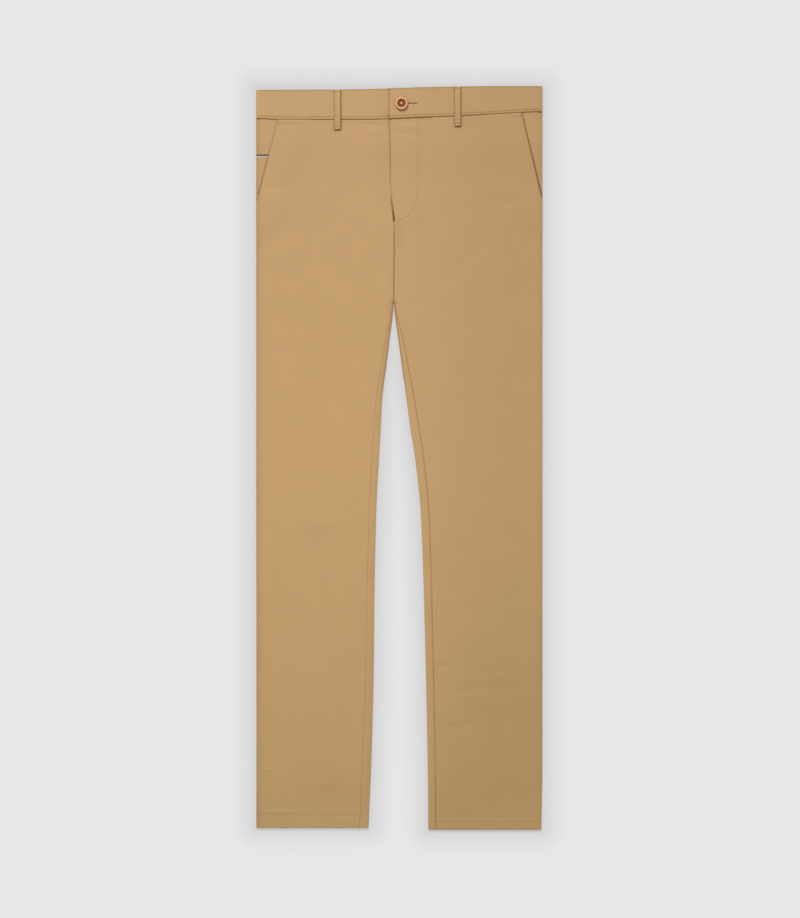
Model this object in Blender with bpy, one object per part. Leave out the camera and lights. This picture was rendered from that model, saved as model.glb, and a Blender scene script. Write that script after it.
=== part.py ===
"""Flat-front chino trousers in satin cotton, laid out flat with the front up, closed at the fly.

The waist is towards +Y, the wearer's left leg towards +X, and the cloth rests on z = 0. Lengths
are metres. Each cut piece is a wall of cloth: a sheet of section lines, every line a row of pairs
of points, one on the outside of the cloth and one on its inside.
"""

import math
from typing import NamedTuple

import bmesh
import bpy

MM = 0.001
SHARP_ANGLE = math.radians(40)

# ---------------------------------------------------------------- cloth and seams
CLOTH = 1.0 * MM
BAND_CLOTH = 2.0 * MM
LOOP_CLOTH = 1.5 * MM
GAP = 0.3 * MM
HEM_DEPTH = 18 * MM
HEM_TURNING = 0.8 * MM
HEM_STEP = 1.0 * MM

# ---------------------------------------------------------------- fullness between the layers
LEG_FULLNESS = 1.9 * MM
HEM_FULLNESS = 0.5 * MM
HEM_FULLNESS_RUN = 90 * MM
EDGE_ROLL = 9 * MM
BODY_ROLL = 60 * MM
EDGE_ROLL_SHARE = 0.7
CROTCH_DIMPLE = 0.4
BAND_FULLNESS = 0.8 * MM

# ---------------------------------------------------------------- the waist stands on its back loops
LOOP_LIFT = 1.5 * MM
LOOP_LIFT_FROM = 425 * MM
LOOP_LIFT_TO = 466 * MM

# ---------------------------------------------------------------- front belt loops, back belt loops
LOOP_WIDTH = 11 * MM
LOOP_SLACK = 0.7 * MM
LOOP_FOLD = 0.7 * MM
LOOP_FOLD_LENGTH = 9 * MM
LOOP_EDGE_ROUND = 0.4 * MM
LOOP_TOP_INSET = 0.8 * MM
LOOP_STEPS_DOWN = 8.5 * MM
BACK_LOOP_CLOTH = 1.2 * MM
BACK_LOOP_TOP = 536 * MM
BACK_LOOP_FOOT = 477 * MM

# ---------------------------------------------------------------- fly and zip
FLY_CLOSED_FROM = 330 * MM
FLY_FULL = 357 * MM
FLY_UNDERLAP = 9 * MM
FLY_UNDERLAP_RUN = 14 * MM
FLY_RISE = 0.75 * MM
FLY_WIDTH = 34 * MM
FLY_FADE = 30 * MM
FLY_STEP_RUN = 22 * MM
FLY_EDGE_FLAT = 2 * MM
BAND_UNDERLAP = 38 * MM
BAND_OVER_FADE = 36 * MM
ZIP_TAPE = 1.0 * MM
ZIP_TAPE_OFF_EDGE = 2 * MM
ZIP_TAPE_WIDTH = 27 * MM
ZIP_CHAIN_WIDTH = 4.6 * MM
ZIP_CHAIN_BEVEL = 1.0 * MM
ZIP_CHAIN_HEIGHT = 2.1 * MM
ZIP_CHAIN_OFF_EDGE = 16 * MM
ZIP_FOOT = 362 * MM
ZIP_SLIDER_LENGTH = 11 * MM
ZIP_SLIDER_WIDTH = 7.6 * MM
ZIP_SLIDER_FOOT_WIDTH = 4.8 * MM
ZIP_SLIDER_SHOULDER = 4 * MM
ZIP_SLIDER_HEIGHT = 2.3 * MM

# ---------------------------------------------------------------- slant pockets
POCKET_NEAR = 27 * MM
POCKET_FAR = 60 * MM
FACING_UNDER_FRONT = 32 * MM
FACING_RAISED_TO = 15 * MM
FACING_FLAT_FROM = 30 * MM
FACING_FOOT = 344 * MM
FACING_OFF_SEAM = 11 * MM
FACING_LEAVES_SEAM = 368 * MM
BAG_WIDTH = 104 * MM
BAG_FOOT = 292 * MM
BAG_OFF_SEAM = 16 * MM
BAG_CORNER = 22 * MM
BAG_CORNER_FROM = 325 * MM
COIN_POCKET_MOUTH = 442.6 * MM
COIN_POCKET_FOOT = 388 * MM
COIN_TRIM_HEIGHT = 5.2 * MM

# ---------------------------------------------------------------- button
BUTTON_RADIUS = 9.0 * MM
BUTTON_HEIGHT = 3.1 * MM
BUTTON_HOLE_RADIUS = 0.95 * MM
BUTTON_HOLE_OFF_CENTRE = 1.7 * MM
BUTTON_HOLES = 4
BUTTON_SEGMENTS = 40
ROUND_SEGMENTS = 12
CUTTER_PAST = 1 * MM
WELD = 0.01 * MM
BUTTON_AT = (3.3 * MM, 517.2 * MM)
SHANK_RADIUS = 1.4 * MM
BUTTONHOLE_END = 26.5 * MM
BUTTONHOLE_WIDTH = 1.1 * MM
BUTTONHOLE_EYE_RADIUS = 2.2 * MM


class ButtonPoint(NamedTuple):
    """A point of the button's outline, as shares of its radius and of its height."""

    place: str
    radius: float
    height: float


BUTTON_PROFILE = (
    ButtonPoint("underside", 0, 0),
    ButtonPoint("underside edge", 0.72, 0),
    ButtonPoint("flare", 0.94, 0.3),
    ButtonPoint("widest", 1, 0.62),
    ButtonPoint("outer rim", 0.97, 0.86),
    ButtonPoint("rim top", 0.88, 1),
    ButtonPoint("inner rim", 0.76, 0.94),
    ButtonPoint("dish edge", 0.66, 0.66),
    ButtonPoint("dish", 0.5, 0.58),
    ButtonPoint("centre", 0, 0.58),
)


class LegLine(NamedTuple):
    """Where the folded edges of the legs lie at one height, and how far the backs come round them.

    Right and left are the wearer's. A wrap is the width of the back panel that shows on the front,
    from the inner edge of the leg to the inseam.
    """

    place: str
    height: float
    right_outer: float
    right_inner: float
    left_inner: float
    left_outer: float
    right_wrap: float
    left_wrap: float


LEG_LINES = tuple(
    LegLine(place, *(size * MM for size in sizes))
    for place, *sizes in (
        ("waist", 506, -209.1, -7.8, -7.8, 208.9, 1.6, 1.6),
        ("hip", 380, -209.1, -7.8, -7.8, 209.3, 1.6, 1.6),
        ("crotch", 226, -209.1, -8.3, -7.7, 209.3, 1.6, 1.6),
        ("under the crotch", 203, -209.1, -10.2, -5.7, 209.3, 3.0, 3.4),
        ("fork", 180, -209.1, -13.4, -2.4, 209.3, 4.8, 6.4),
        ("thigh", 135, -209.0, -18.9, 3.7, 209.3, 7.2, 9.0),
        ("mid thigh", 92, -209.0, -24.6, 9.7, 209.3, 8.6, 11.2),
        ("low thigh", 46, -209.1, -27.2, 15.8, 209.3, 9.4, 12.8),
        ("above knee", 4, -209.1, -29.4, 22.4, 209.3, 9.7, 12.8),
        ("knee", -62, -209.1, -33.2, 30.0, 209.3, 9.9, 12.2),
        ("under knee", -127, -209.0, -35.0, 33.5, 209.3, 10.2, 11.8),
        ("upper calf", -193, -208.9, -36.3, 35.7, 209.2, 10.6, 11.5),
        ("calf", -324, -208.8, -37.7, 39.1, 209.2, 11.4, 11.2),
        ("ankle", -456, -208.8, -41.4, 41.7, 209.1, 12.6, 11.0),
        ("hem", -542, -208.9, -45.2, 42.4, 207.6, 13.0, 10.9),
    )
)
HEM_HEIGHT = {"right": -540.4 * MM, "left": -543.0 * MM}
CROTCH = (-8.0 * MM, 226 * MM)


class WaistLine(NamedTuple):
    """The two edges of the waistband at one place across the waist."""

    place: str
    across: float
    seam: float
    top: float


WAIST_LINES = tuple(
    WaistLine(place, *(size * MM for size in sizes))
    for place, *sizes in (
        ("right side", -209.1, 495.9, 537.3),
        ("right pocket", -166, 493.7, 537.6),
        ("right loop", -80, 494.0, 538.0),
        ("front edge", -15, 494.8, 539.5),
        ("buttonhole", 31, 496.9, 541.0),
        ("left loop", 80, 498.7, 542.3),
        ("left pocket", 140, 501.8, 542.8),
        ("left side", 209.3, 505.9, 543.0),
    )
)
WAIST_FOLLOWS_FROM = 345 * MM
WAIST_HEIGHT = 495 * MM


class FlyLine(NamedTuple):
    """The front edge of the fly, and the centre seam below it, at one height."""

    place: str
    height: float
    edge: float


FLY_LINES = tuple(
    FlyLine(place, *(size * MM for size in sizes))
    for place, *sizes in (
        ("waistband top", 540, -15.2),
        ("waist seam", 495, -14.4),
        ("upper fly", 455, -12.8),
        ("lower fly", 395, -12.2),
        ("fly curve", 370, -10.2),
        ("fly foot", 346, -7.7),
        ("centre seam", 300, -7.3),
        ("crotch", 226, -8.0),
    )
)


class Slant(NamedTuple):
    """A pocket mouth: a straight edge from the waist seam down to the side seam."""

    top: tuple
    foot: tuple


SLANTS = {
    "right": Slant((-177.6 * MM, 493.8 * MM), (-209.1 * MM, 372 * MM)),
    "left": Slant((178.9 * MM, 503.9 * MM), (209.3 * MM, 378 * MM)),
}
FRONT_LOOPS = {"right": (-89.3 * MM, 477.2 * MM), "left": (86.0 * MM, 482.2 * MM)}
BACK_LOOPS = {"right": -122 * MM, "centre": -6 * MM, "left": 122 * MM}
INWARDS = {"right": 1, "left": -1}

# Heights of the section lines that the stacked pieces share. The pocket's foot and the hem add more.
SHARED_HEIGHTS = tuple(
    height * MM
    for height in (
        495, 485, 474, 464, 454, 440, 427, 414, 400, 387, 361, 353, 344, 332, 312, 285, 258, 238,
        228, 224.5, 219, 208, 192, 165, 135, 112, 92, 70, 46, 25, 4, -28, -62, -95, -127, -160,
        -193, -235, -280, -324, -370, -415, -456, -490, -512,
    )
)

# Places across a section line, measured from its edge; and pairs round the inner fold of a leg.
FRONT_ROLL_PLACES = (2 * MM, 5 * MM, 10 * MM)
FRONT_SEAM_PLACES = (3 * MM, 10 * MM)
BACK_ROLL_PLACES = (10 * MM,)
LOOP_PLACES = (LOOP_EDGE_ROUND, 4 * MM, 14 * MM, 28 * MM, 41 * MM, 45 * MM)
BEND_SHARES = (0, 0.25, 0.6, 1)
FOLD_ANGLES = tuple(math.radians(angle) for angle in (-90, -50, 0, 50, 90))
WRAP_PLACES = 2
SEAT_SEAM_INSET = 0.15 * MM
COIN_POCKET_SHARES = (0, 0.12, 0.3, 0.55, 1)


# ---------------------------------------------------------------- curves through the tables
def section_heights(side, top=WAIST_HEIGHT, foot=None):
    """The heights of a side's section lines, from one height down to another or to the hem."""
    hem_line = HEM_HEIGHT[side] + HEM_DEPTH
    foot = HEM_HEIGHT[side] if foot is None else foot
    heights = {*SHARED_HEIGHTS, SLANTS[side].foot[1], hem_line + HEM_STEP, hem_line - HEM_STEP, top, foot}
    return sorted((height for height in heights if foot <= height <= top), reverse=True)


def smoothstep(start, end, value):
    """0 before start, 1 past end, and smooth between. start may lie past end."""
    share = min(1.0, max(0.0, (value - start) / (end - start)))
    return share * share * (3 - 2 * share)


def through(table, key, column, value):
    """A smooth curve through one column of a table, at one value of its key column."""
    rows = sorted((getattr(row, key), getattr(row, column)) for row in table)
    value = min(rows[-1][0], max(rows[0][0], value))
    upper = next(i for i in range(1, len(rows)) if value <= rows[i][0])
    slopes = []
    for i in (upper - 1, upper):
        before, after = rows[max(i - 1, 0)], rows[min(i + 1, len(rows) - 1)]
        slopes.append((after[1] - before[1]) / (after[0] - before[0]))
    (start, low), (end, high) = rows[upper - 1], rows[upper]
    span = end - start
    t = (value - start) / span
    return (
        low * (1 + 2 * t) * (1 - t) ** 2
        + high * t * t * (3 - 2 * t)
        + slopes[0] * span * t * (1 - t) ** 2
        - slopes[1] * span * t * t * (1 - t)
    )


def outer_edge(side, y):
    return through(LEG_LINES, "height", f"{side}_outer", y)


def inner_edge(side, y):
    return through(LEG_LINES, "height", f"{side}_inner", y)


def inseam_wrap(side, y):
    return through(LEG_LINES, "height", f"{side}_wrap", y)


def fly_edge(y):
    return through(FLY_LINES, "height", "edge", y)


def waist_seam(x):
    return through(WAIST_LINES, "across", "seam", x)


def waist_top(x):
    return through(WAIST_LINES, "across", "top", x)


def with_the_waist(x, height):
    """The height of a section line at x: level on the legs, and along the waist seam at the top."""
    share = smoothstep(WAIST_FOLLOWS_FROM, WAIST_HEIGHT, height)
    return height + share * (waist_seam(x) - GAP / 2 - WAIST_HEIGHT)


def slant_edge(side, y):
    """The pocket mouth's x at a height, held at the side seam below its foot."""
    (top_x, top_y), (foot_x, foot_y) = SLANTS[side]
    share = max(0.0, (y - foot_y) / (top_y - foot_y))
    return foot_x + share * (top_x - foot_x)


def distance_to_slant(side, x, y):
    (top_x, top_y), (foot_x, foot_y) = SLANTS[side]
    along_x, along_y = top_x - foot_x, top_y - foot_y
    share = ((x - foot_x) * along_x + (y - foot_y) * along_y) / (along_x**2 + along_y**2)
    share = min(1.0, max(0.0, share))
    return math.hypot(x - foot_x - share * along_x, y - foot_y - share * along_y)


# ---------------------------------------------------------------- heights of the layers
def cloth_at(side, y):
    """The panel's thickness, which is greater in the turned-up hem."""
    hem_line = HEM_HEIGHT[side] + HEM_DEPTH
    return CLOTH + HEM_TURNING * smoothstep(hem_line + HEM_STEP, hem_line - HEM_STEP, y)


def loop_lift(y):
    return LOOP_LIFT * smoothstep(LOOP_LIFT_FROM, LOOP_LIFT_TO, y)


def rolled(distance):
    """0 at a folded edge, rising quickly over the edge's roll and slowly over the leg, to 1."""
    quick = 1 - (1 - min(1.0, max(0.0, distance / EDGE_ROLL))) ** 2
    slow = 1 - (1 - min(1.0, max(0.0, distance / BODY_ROLL))) ** 2
    return EDGE_ROLL_SHARE * quick + (1 - EDGE_ROLL_SHARE) * slow


def fullness(side, x, y):
    """How much higher the front lies than at the legs' folded edges, where it touches the back."""
    fold = cloth_at(side, y) + GAP / 2
    from_outer = abs(x - outer_edge(side, y)) - fold
    if y < CROTCH[1]:
        from_inner = abs(x - inner_edge(side, y)) - fold
    else:
        above = y - CROTCH[1]
        from_inner = math.hypot(x - CROTCH[0], above) + CROTCH_DIMPLE * above - fold
    above_hem = y - HEM_HEIGHT[side]
    most = HEM_FULLNESS + (LEG_FULLNESS - HEM_FULLNESS) * smoothstep(0, HEM_FULLNESS_RUN, above_hem)
    return most * rolled(from_outer) * rolled(from_inner)


def front_rest(side, x, y):
    """The underside of the front panel where nothing else lies under it but the back."""
    return loop_lift(y) + cloth_at(side, y) + GAP + fullness(side, x, y)


def pocket_lift(side, x, y):
    """The front lies over the pocket's facing near the pocket mouth."""
    near = smoothstep(POCKET_FAR, POCKET_NEAR, distance_to_slant(side, x, y))
    return (CLOTH + GAP) * near


def fly_over(x, y):
    """The wearer's left front lies over the right front and the zip."""
    along = smoothstep(FLY_CLOSED_FROM, FLY_FULL, y)
    past = x - fly_edge(y)
    return FLY_RISE * along * smoothstep(FLY_WIDTH + FLY_FADE, FLY_WIDTH, past)


def fly_under(x, y):
    """The share by which the wearer's right front dips under the left one at the fly."""
    along = smoothstep(FLY_CLOSED_FROM, FLY_FULL, y)
    return along * smoothstep(-FLY_STEP_RUN, -FLY_EDGE_FLAT, x - fly_edge(y))


def front_underside(side, x, y):
    height = front_rest(side, x, y) + pocket_lift(side, x, y)
    if side == "left":
        return height + fly_over(x, y)
    dipped = loop_lift(y) + CLOTH + GAP + ZIP_TAPE + GAP
    return height + fly_under(x, y) * (dipped - height)


def front_topside(side, x, y):
    return front_underside(side, x, y) + cloth_at(side, y)


def pocket_underside(side, x, y):
    """The facing follows the front round the mouth; further in, it and the bag rest on the back."""
    raised = smoothstep(FACING_FLAT_FROM, FACING_RAISED_TO, distance_to_slant(side, x, y))
    shows = abs(x - outer_edge(side, y)) < abs(slant_edge(side, y) - outer_edge(side, y))
    return loop_lift(y) + CLOTH + GAP + (1.0 if shows else raised) * fullness(side, x, y)


def band_underside(side, x):
    """The underside of a front waistband, which rests on the back one at the side and the fly."""
    edge = outer_edge(side, WAIST_HEIGHT)
    rest = BAND_CLOTH + GAP + BAND_FULLNESS * rolled(abs(x - edge) - BAND_CLOTH - GAP)
    past = x - fly_edge(WAIST_HEIGHT)
    if side == "left":
        at_fly = BAND_CLOTH * 2 + GAP * 2
        share = smoothstep(BAND_UNDERLAP + BAND_OVER_FADE, BAND_UNDERLAP, past)
    else:
        at_fly = BAND_CLOTH + GAP
        share = smoothstep(-FLY_STEP_RUN, -FLY_EDGE_FLAT, past)
    return LOOP_LIFT + rest + (at_fly - rest) * share


def band_topside(side, x):
    return band_underside(side, x) + BAND_CLOTH


# ---------------------------------------------------------------- building solids
def clear_scene():
    for thing in list(bpy.data.objects):
        bpy.data.objects.remove(thing)


def make_material(name, colour, roughness, metallic=0.0):
    material = bpy.data.materials.new(name)
    material.use_nodes = True
    surface = material.node_tree.nodes["Principled BSDF"]
    surface.inputs["Base Color"].default_value = (*colour, 1.0)
    surface.inputs["Roughness"].default_value = roughness
    surface.inputs["Metallic"].default_value = metallic
    return material


def place(name, bm, material):
    """Makes a named object of a bmesh, with its faces pointing out."""
    bmesh.ops.recalc_face_normals(bm, faces=bm.faces)
    mesh = bpy.data.meshes.new(name)
    bm.to_mesh(mesh)
    bm.free()
    mesh.materials.append(material)
    mesh.shade_smooth()
    mesh.set_sharp_from_angle(angle=SHARP_ANGLE)
    made = bpy.data.objects.new(name, mesh)
    bpy.context.scene.collection.objects.link(made)
    return made


def cloth_wall(name, lines, material):
    """A wall of cloth from its section lines, each a row of pairs: a point outside, one inside."""
    bm = bmesh.new()
    outside = [[bm.verts.new(pair[0]) for pair in line] for line in lines]
    inside = [[bm.verts.new(pair[1]) for pair in line] for line in lines]
    for layer in (outside, inside):
        for upper, lower in zip(layer, layer[1:]):
            for i in range(len(upper) - 1):
                bm.faces.new((upper[i], upper[i + 1], lower[i + 1], lower[i]))
    first_column = [[line[0] for line in layer] for layer in (outside, inside)]
    last_column = [[line[-1] for line in layer] for layer in (outside, inside)]
    ends = ((outside[0], inside[0]), (outside[-1], inside[-1]), first_column, last_column)
    for rim, other_rim in ends:
        for i in range(len(rim) - 1):
            bm.faces.new((rim[i], rim[i + 1], other_rim[i + 1], other_rim[i]))
    return place(name, bm, material)


def spread(start, end, from_start=(), count=6, from_end=()):
    """Places from start to end: at some distances from either end, and evenly between those."""
    way = 1 if end > start else -1
    first = [start + way * step for step in (0, *from_start)]
    last = [end - way * step for step in (*reversed(from_end), 0)]
    span = last[0] - first[-1]
    middle = [first[-1] + span * i / (count + 1) for i in range(1, count + 1)]
    return first + middle + last


def flat_pair(x, y, underside, thickness):
    return (x, y, underside + thickness), (x, y, underside)


# ---------------------------------------------------------------- the cut pieces
def front_inner_edge(side, y):
    """The front panel's inner cut edge: the fly or centre seam, and the inseam on the leg."""
    if y < CROTCH[1]:
        return inner_edge(side, y) - INWARDS[side] * (inseam_wrap(side, y) + GAP)
    if side == "left":
        return fly_edge(y) + GAP / 2
    under = FLY_UNDERLAP * smoothstep(FLY_FULL, FLY_FULL + FLY_UNDERLAP_RUN, y)
    return fly_edge(y) - GAP / 2 + under


def front_panel(side, material):
    lines = []
    for height in section_heights(side):
        outer = outer_edge(side, height)
        if height > SLANTS[side].foot[1]:
            outer = slant_edge(side, with_the_waist(SLANTS[side].top[0], height))
        line = []
        for x in spread(outer, front_inner_edge(side, height), FRONT_ROLL_PLACES, 5, FRONT_SEAM_PLACES):
            y = with_the_waist(x, height)
            line.append(flat_pair(x, y, front_underside(side, x, y), cloth_at(side, y)))
        lines.append(line)
    return cloth_wall(f"front_{side}", lines, material)


def round_the_inseam(side, height, fold_x):
    """The back panel's pairs from the inner fold of the leg to the inseam that lies on the front."""
    inwards, thickness = INWARDS[side], cloth_at(side, height)
    radius = thickness + GAP / 2
    pairs = []
    for angle in FOLD_ANGLES:
        turn_x, turn_z = inwards * math.cos(angle), math.sin(angle)
        pairs.append(tuple((fold_x + turn_x * r, height, radius + turn_z * r) for r in (radius, GAP / 2)))
    wrap_end = inner_edge(side, height) - inwards * inseam_wrap(side, height)
    for x in spread(fold_x, wrap_end, (), WRAP_PLACES)[1:]:
        underside = front_rest(side, x, height)
        pairs.append(((x, height, underside + thickness), (x, height, underside)))
    return pairs


def up_to_the_seat_seam(side, height, fold_x):
    """The same number of pairs on the seat, where the panel only ends at the centre-back seam."""
    seam_x = CROTCH[0] - INWARDS[side] * GAP / 2
    top_x = seam_x - INWARDS[side] * SEAT_SEAM_INSET
    y = with_the_waist(seam_x, height)
    steps = len(FOLD_ANGLES) + WRAP_PLACES
    pairs = []
    for i in range(steps + 1):
        along, up = min(1.0, 2 * i / steps), max(0.0, 2 * i / steps - 1)
        outside = (fold_x + (seam_x - fold_x) * along, y, loop_lift(y) + CLOTH * up)
        inside = (fold_x + (top_x - fold_x) * i / steps, y, loop_lift(y) + CLOTH)
        pairs.append((outside, inside))
    return pairs


def back_panel(side, material):
    """Flat on the ground, and on the legs round the inner fold to the inseam on the front."""
    lines = []
    for height in section_heights(side):
        on_leg = height < CROTCH[1]
        edge = inner_edge(side, height) if on_leg else CROTCH[0]
        fold_x = edge - INWARDS[side] * (cloth_at(side, height) + GAP / 2)
        line = []
        for x in spread(outer_edge(side, height), fold_x, BACK_ROLL_PLACES, 5)[:-1]:
            y = with_the_waist(x, height)
            line.append(((x, y, loop_lift(y)), (x, y, loop_lift(y) + cloth_at(side, height))))
        finish = round_the_inseam if on_leg else up_to_the_seat_seam
        lines.append(line + finish(side, height, fold_x))
    return cloth_wall(f"back_{side}", lines, material)


def facing_inner_edge(side, y):
    return slant_edge(side, y) + INWARDS[side] * FACING_UNDER_FRONT


def pocket_facing(side, material):
    """The satin that shows in the pocket mouth, sewn in at the side seam and the waist seam."""
    lines = []
    for height in section_heights(side, foot=FACING_FOOT):
        off_seam = FACING_OFF_SEAM * smoothstep(FACING_LEAVES_SEAM, FACING_FOOT, height)
        outer = outer_edge(side, height) + INWARDS[side] * off_seam
        line = []
        for x in spread(outer, facing_inner_edge(side, height), FRONT_ROLL_PLACES, 3):
            y = with_the_waist(x, height)
            line.append(flat_pair(x, y, pocket_underside(side, x, y), CLOTH))
        lines.append(line)
    return cloth_wall(f"pocket_facing_{side}", lines, material)


def pocket_bag(side, material):
    """The bag hidden between front and back, its two layers pressed into one."""
    lines = []
    for height in section_heights(side, foot=BAG_FOOT):
        under_facing = outer_edge(side, height) + INWARDS[side] * BAG_OFF_SEAM
        beside_facing = facing_inner_edge(side, height) + INWARDS[side] * GAP
        share = smoothstep(FACING_FOOT, BAG_CORNER_FROM, height)
        outer = beside_facing + (under_facing - beside_facing) * share
        corner = BAG_CORNER * smoothstep(BAG_CORNER_FROM, BAG_FOOT, height) ** 2
        inner = -INWARDS[side] * (BAG_WIDTH + corner)
        line = []
        for x in spread(outer + INWARDS[side] * corner, inner, (), 5):
            y = with_the_waist(x, height)
            line.append(flat_pair(x, y, pocket_underside(side, x, y), CLOTH))
        lines.append(line)
    return cloth_wall(f"pocket_bag_{side}", lines, material)


def coin_pocket_line(y):
    """A section of what lies on the right facing, from the side seam to the pocket mouth."""
    outer, inner = outer_edge("right", y) + GAP, slant_edge("right", y) - GAP
    line = []
    for share in COIN_POCKET_SHARES:
        x = outer + share * (inner - outer)
        line.append(flat_pair(x, y, pocket_underside("right", x, y) + CLOTH + GAP, CLOTH))
    return line


def coin_pocket(material, trim_material):
    """A small pocket on the right facing, with a bound mouth of contrasting tape."""
    tape_foot = COIN_POCKET_MOUTH - COIN_TRIM_HEIGHT
    heights = section_heights("right", tape_foot - GAP, COIN_POCKET_FOOT)
    cloth_wall("coin_pocket", [coin_pocket_line(y) for y in heights], material)
    tape_heights = section_heights("right", COIN_POCKET_MOUTH, tape_foot)
    cloth_wall("coin_pocket_trim", [coin_pocket_line(y) for y in tape_heights], trim_material)


def waistband_piece(name, start, end, underside, material, near_start=(), near_end=()):
    """A length of waistband between two places across the waist."""
    lines = []
    for share in (0, 0.5, 1):
        line = []
        for x in spread(start, end, near_start, 7, near_end):
            y = waist_top(x) + share * (waist_seam(x) + GAP / 2 - waist_top(x))
            line.append(flat_pair(x, y, underside(x), BAND_CLOTH))
        lines.append(line)
    return cloth_wall(name, lines, material)


def waistbands(material):
    """Front bands that overlap at the fly, and back bands that meet at the centre-back seam."""
    sides = {side: outer_edge(side, WAIST_HEIGHT) for side in INWARDS}
    fly, seat_seam = fly_edge(WAIST_HEIGHT), CROTCH[0]

    def front_underside_of(side):
        return lambda x: band_underside(side, x)

    def back_underside(x):
        return LOOP_LIFT

    bends = [BAND_UNDERLAP + FLY_EDGE_FLAT + FLY_STEP_RUN * share for share in BEND_SHARES]
    waistband_piece("waistband_front_right", sides["right"], fly + BAND_UNDERLAP,
                    front_underside_of("right"), material, FRONT_ROLL_PLACES, bends)
    bends = [BAND_UNDERLAP + BAND_OVER_FADE * share for share in BEND_SHARES]
    left_band = waistband_piece("waistband_front_left", sides["left"], fly,
                                front_underside_of("left"), material, FRONT_ROLL_PLACES, bends)
    for side, edge in sides.items():
        end = seat_seam - INWARDS[side] * GAP / 2
        waistband_piece(f"waistband_back_{side}", edge, end, back_underside, material)
    return left_band


def loop_places(centre):
    """Places across a belt loop, with its rounded edges."""
    half, rounded = LOOP_WIDTH / 2, (LOOP_EDGE_ROUND,)
    return spread(centre - half, centre + half, rounded, 1, rounded)


def front_belt_loop(side, material):
    """A folded strip that lies on the band and ends, turned under, on the front below the seam."""
    centre, foot = FRONT_LOOPS[side]
    head, seam = waist_top(centre) - LOOP_TOP_INSET, waist_seam(centre)
    lines = []
    for y in spread(head, foot, LOOP_PLACES, 3, (LOOP_EDGE_ROUND,)):
        on_front = smoothstep(seam - 2 * MM, seam - 2 * MM - LOOP_STEPS_DOWN, y)
        slack = LOOP_SLACK * math.sin(math.pi * min(1.0, max(0.0, (y - seam) / (head - seam))))
        folded = LOOP_FOLD * smoothstep(foot + LOOP_FOLD_LENGTH, foot + LOOP_FOLD_LENGTH / 2, y)
        at_end = y in (head, foot)
        line = []
        for x in loop_places(centre):
            band, front = band_topside(side, x), front_topside(side, x, min(y, seam))
            at_edge = at_end or abs(x - centre) > LOOP_WIDTH / 2 - LOOP_EDGE_ROUND / 2
            under = band + (front - band) * on_front + GAP + slack
            line.append(flat_pair(x, y, under, LOOP_CLOTH + folded - LOOP_EDGE_ROUND * at_edge))
        lines.append(line)
    return cloth_wall(f"belt_loop_front_{side}", lines, material)


def back_belt_loop(place_name, material):
    """A strip sewn to the back of the band, lying between it and the ground."""
    lines = []
    across = loop_places(BACK_LOOPS[place_name])
    for y in spread(BACK_LOOP_TOP, BACK_LOOP_FOOT, (), 2):
        lines.append([((x, y, 0.0), (x, y, BACK_LOOP_CLOTH)) for x in across])
    return cloth_wall(f"belt_loop_back_{place_name}", lines, material)


# ---------------------------------------------------------------- zip and button
def zip_fastener(tape_material, metal_material):
    """A closed zip behind the fly: tapes with the chain of teeth between, and the slider at its top."""
    slider_top = waist_seam(0) - 2 * GAP
    slider_foot = slider_top - ZIP_SLIDER_LENGTH
    half = ZIP_CHAIN_WIDTH / 2
    section = (
        (ZIP_TAPE_OFF_EDGE, ZIP_TAPE),
        (ZIP_CHAIN_OFF_EDGE - half - ZIP_CHAIN_BEVEL, ZIP_TAPE),
        (ZIP_CHAIN_OFF_EDGE - half, ZIP_CHAIN_HEIGHT),
        (ZIP_CHAIN_OFF_EDGE + half, ZIP_CHAIN_HEIGHT),
        (ZIP_CHAIN_OFF_EDGE + half + ZIP_CHAIN_BEVEL, ZIP_TAPE),
        (ZIP_TAPE_OFF_EDGE + ZIP_TAPE_WIDTH, ZIP_TAPE),
    )
    lines = []
    for y in section_heights("left", slider_foot - GAP, ZIP_FOOT):
        floor = loop_lift(y) + CLOTH + GAP
        lines.append([flat_pair(fly_edge(y) + off, y, floor, height) for off, height in section])
    cloth_wall("zip", lines, tape_material)
    lines = []
    for y, width in (
        (slider_top, ZIP_SLIDER_WIDTH),
        (slider_top - ZIP_SLIDER_SHOULDER, ZIP_SLIDER_WIDTH),
        (slider_foot, ZIP_SLIDER_FOOT_WIDTH),
    ):
        middle, floor = fly_edge(y) + ZIP_CHAIN_OFF_EDGE, loop_lift(y) + CLOTH + GAP
        places = (middle - width / 2, middle, middle + width / 2)
        lines.append([flat_pair(x, y, floor, ZIP_SLIDER_HEIGHT) for x in places])
    cloth_wall("zip_slider", lines, metal_material)


def turned(name, profile, centre, material, segments=BUTTON_SEGMENTS):
    """A solid turned round an upright axis from a profile of (radius, height), axis to axis."""
    bm = bmesh.new()
    verts = [bm.verts.new((centre[0] + r, centre[1], z)) for r, z in profile]
    edges = [bm.edges.new(pair) for pair in zip(verts, verts[1:])]
    bmesh.ops.spin(bm, geom=verts + edges, cent=(*centre, 0), axis=(0, 0, 1), angle=2 * math.pi,
                   steps=segments)
    bmesh.ops.remove_doubles(bm, verts=bm.verts, dist=WELD)
    return place(name, bm, material)


def drum(name, centre, radius, low, high, material, segments=ROUND_SEGMENTS):
    return turned(name, [(0, low), (radius, low), (radius, high), (0, high)], centre, material, segments)


def cut(thing, cutters):
    """Takes the cutters' shapes out of a solid, and leaves the cutters as hidden helpers."""
    for cutter in cutters:
        cutter.hide_render = True
        cutter.display_type = "WIRE"
        boolean = thing.modifiers.new("cut", "BOOLEAN")
        boolean.operation = "DIFFERENCE"
        boolean.solver = "EXACT"
        boolean.object = cutter


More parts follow.
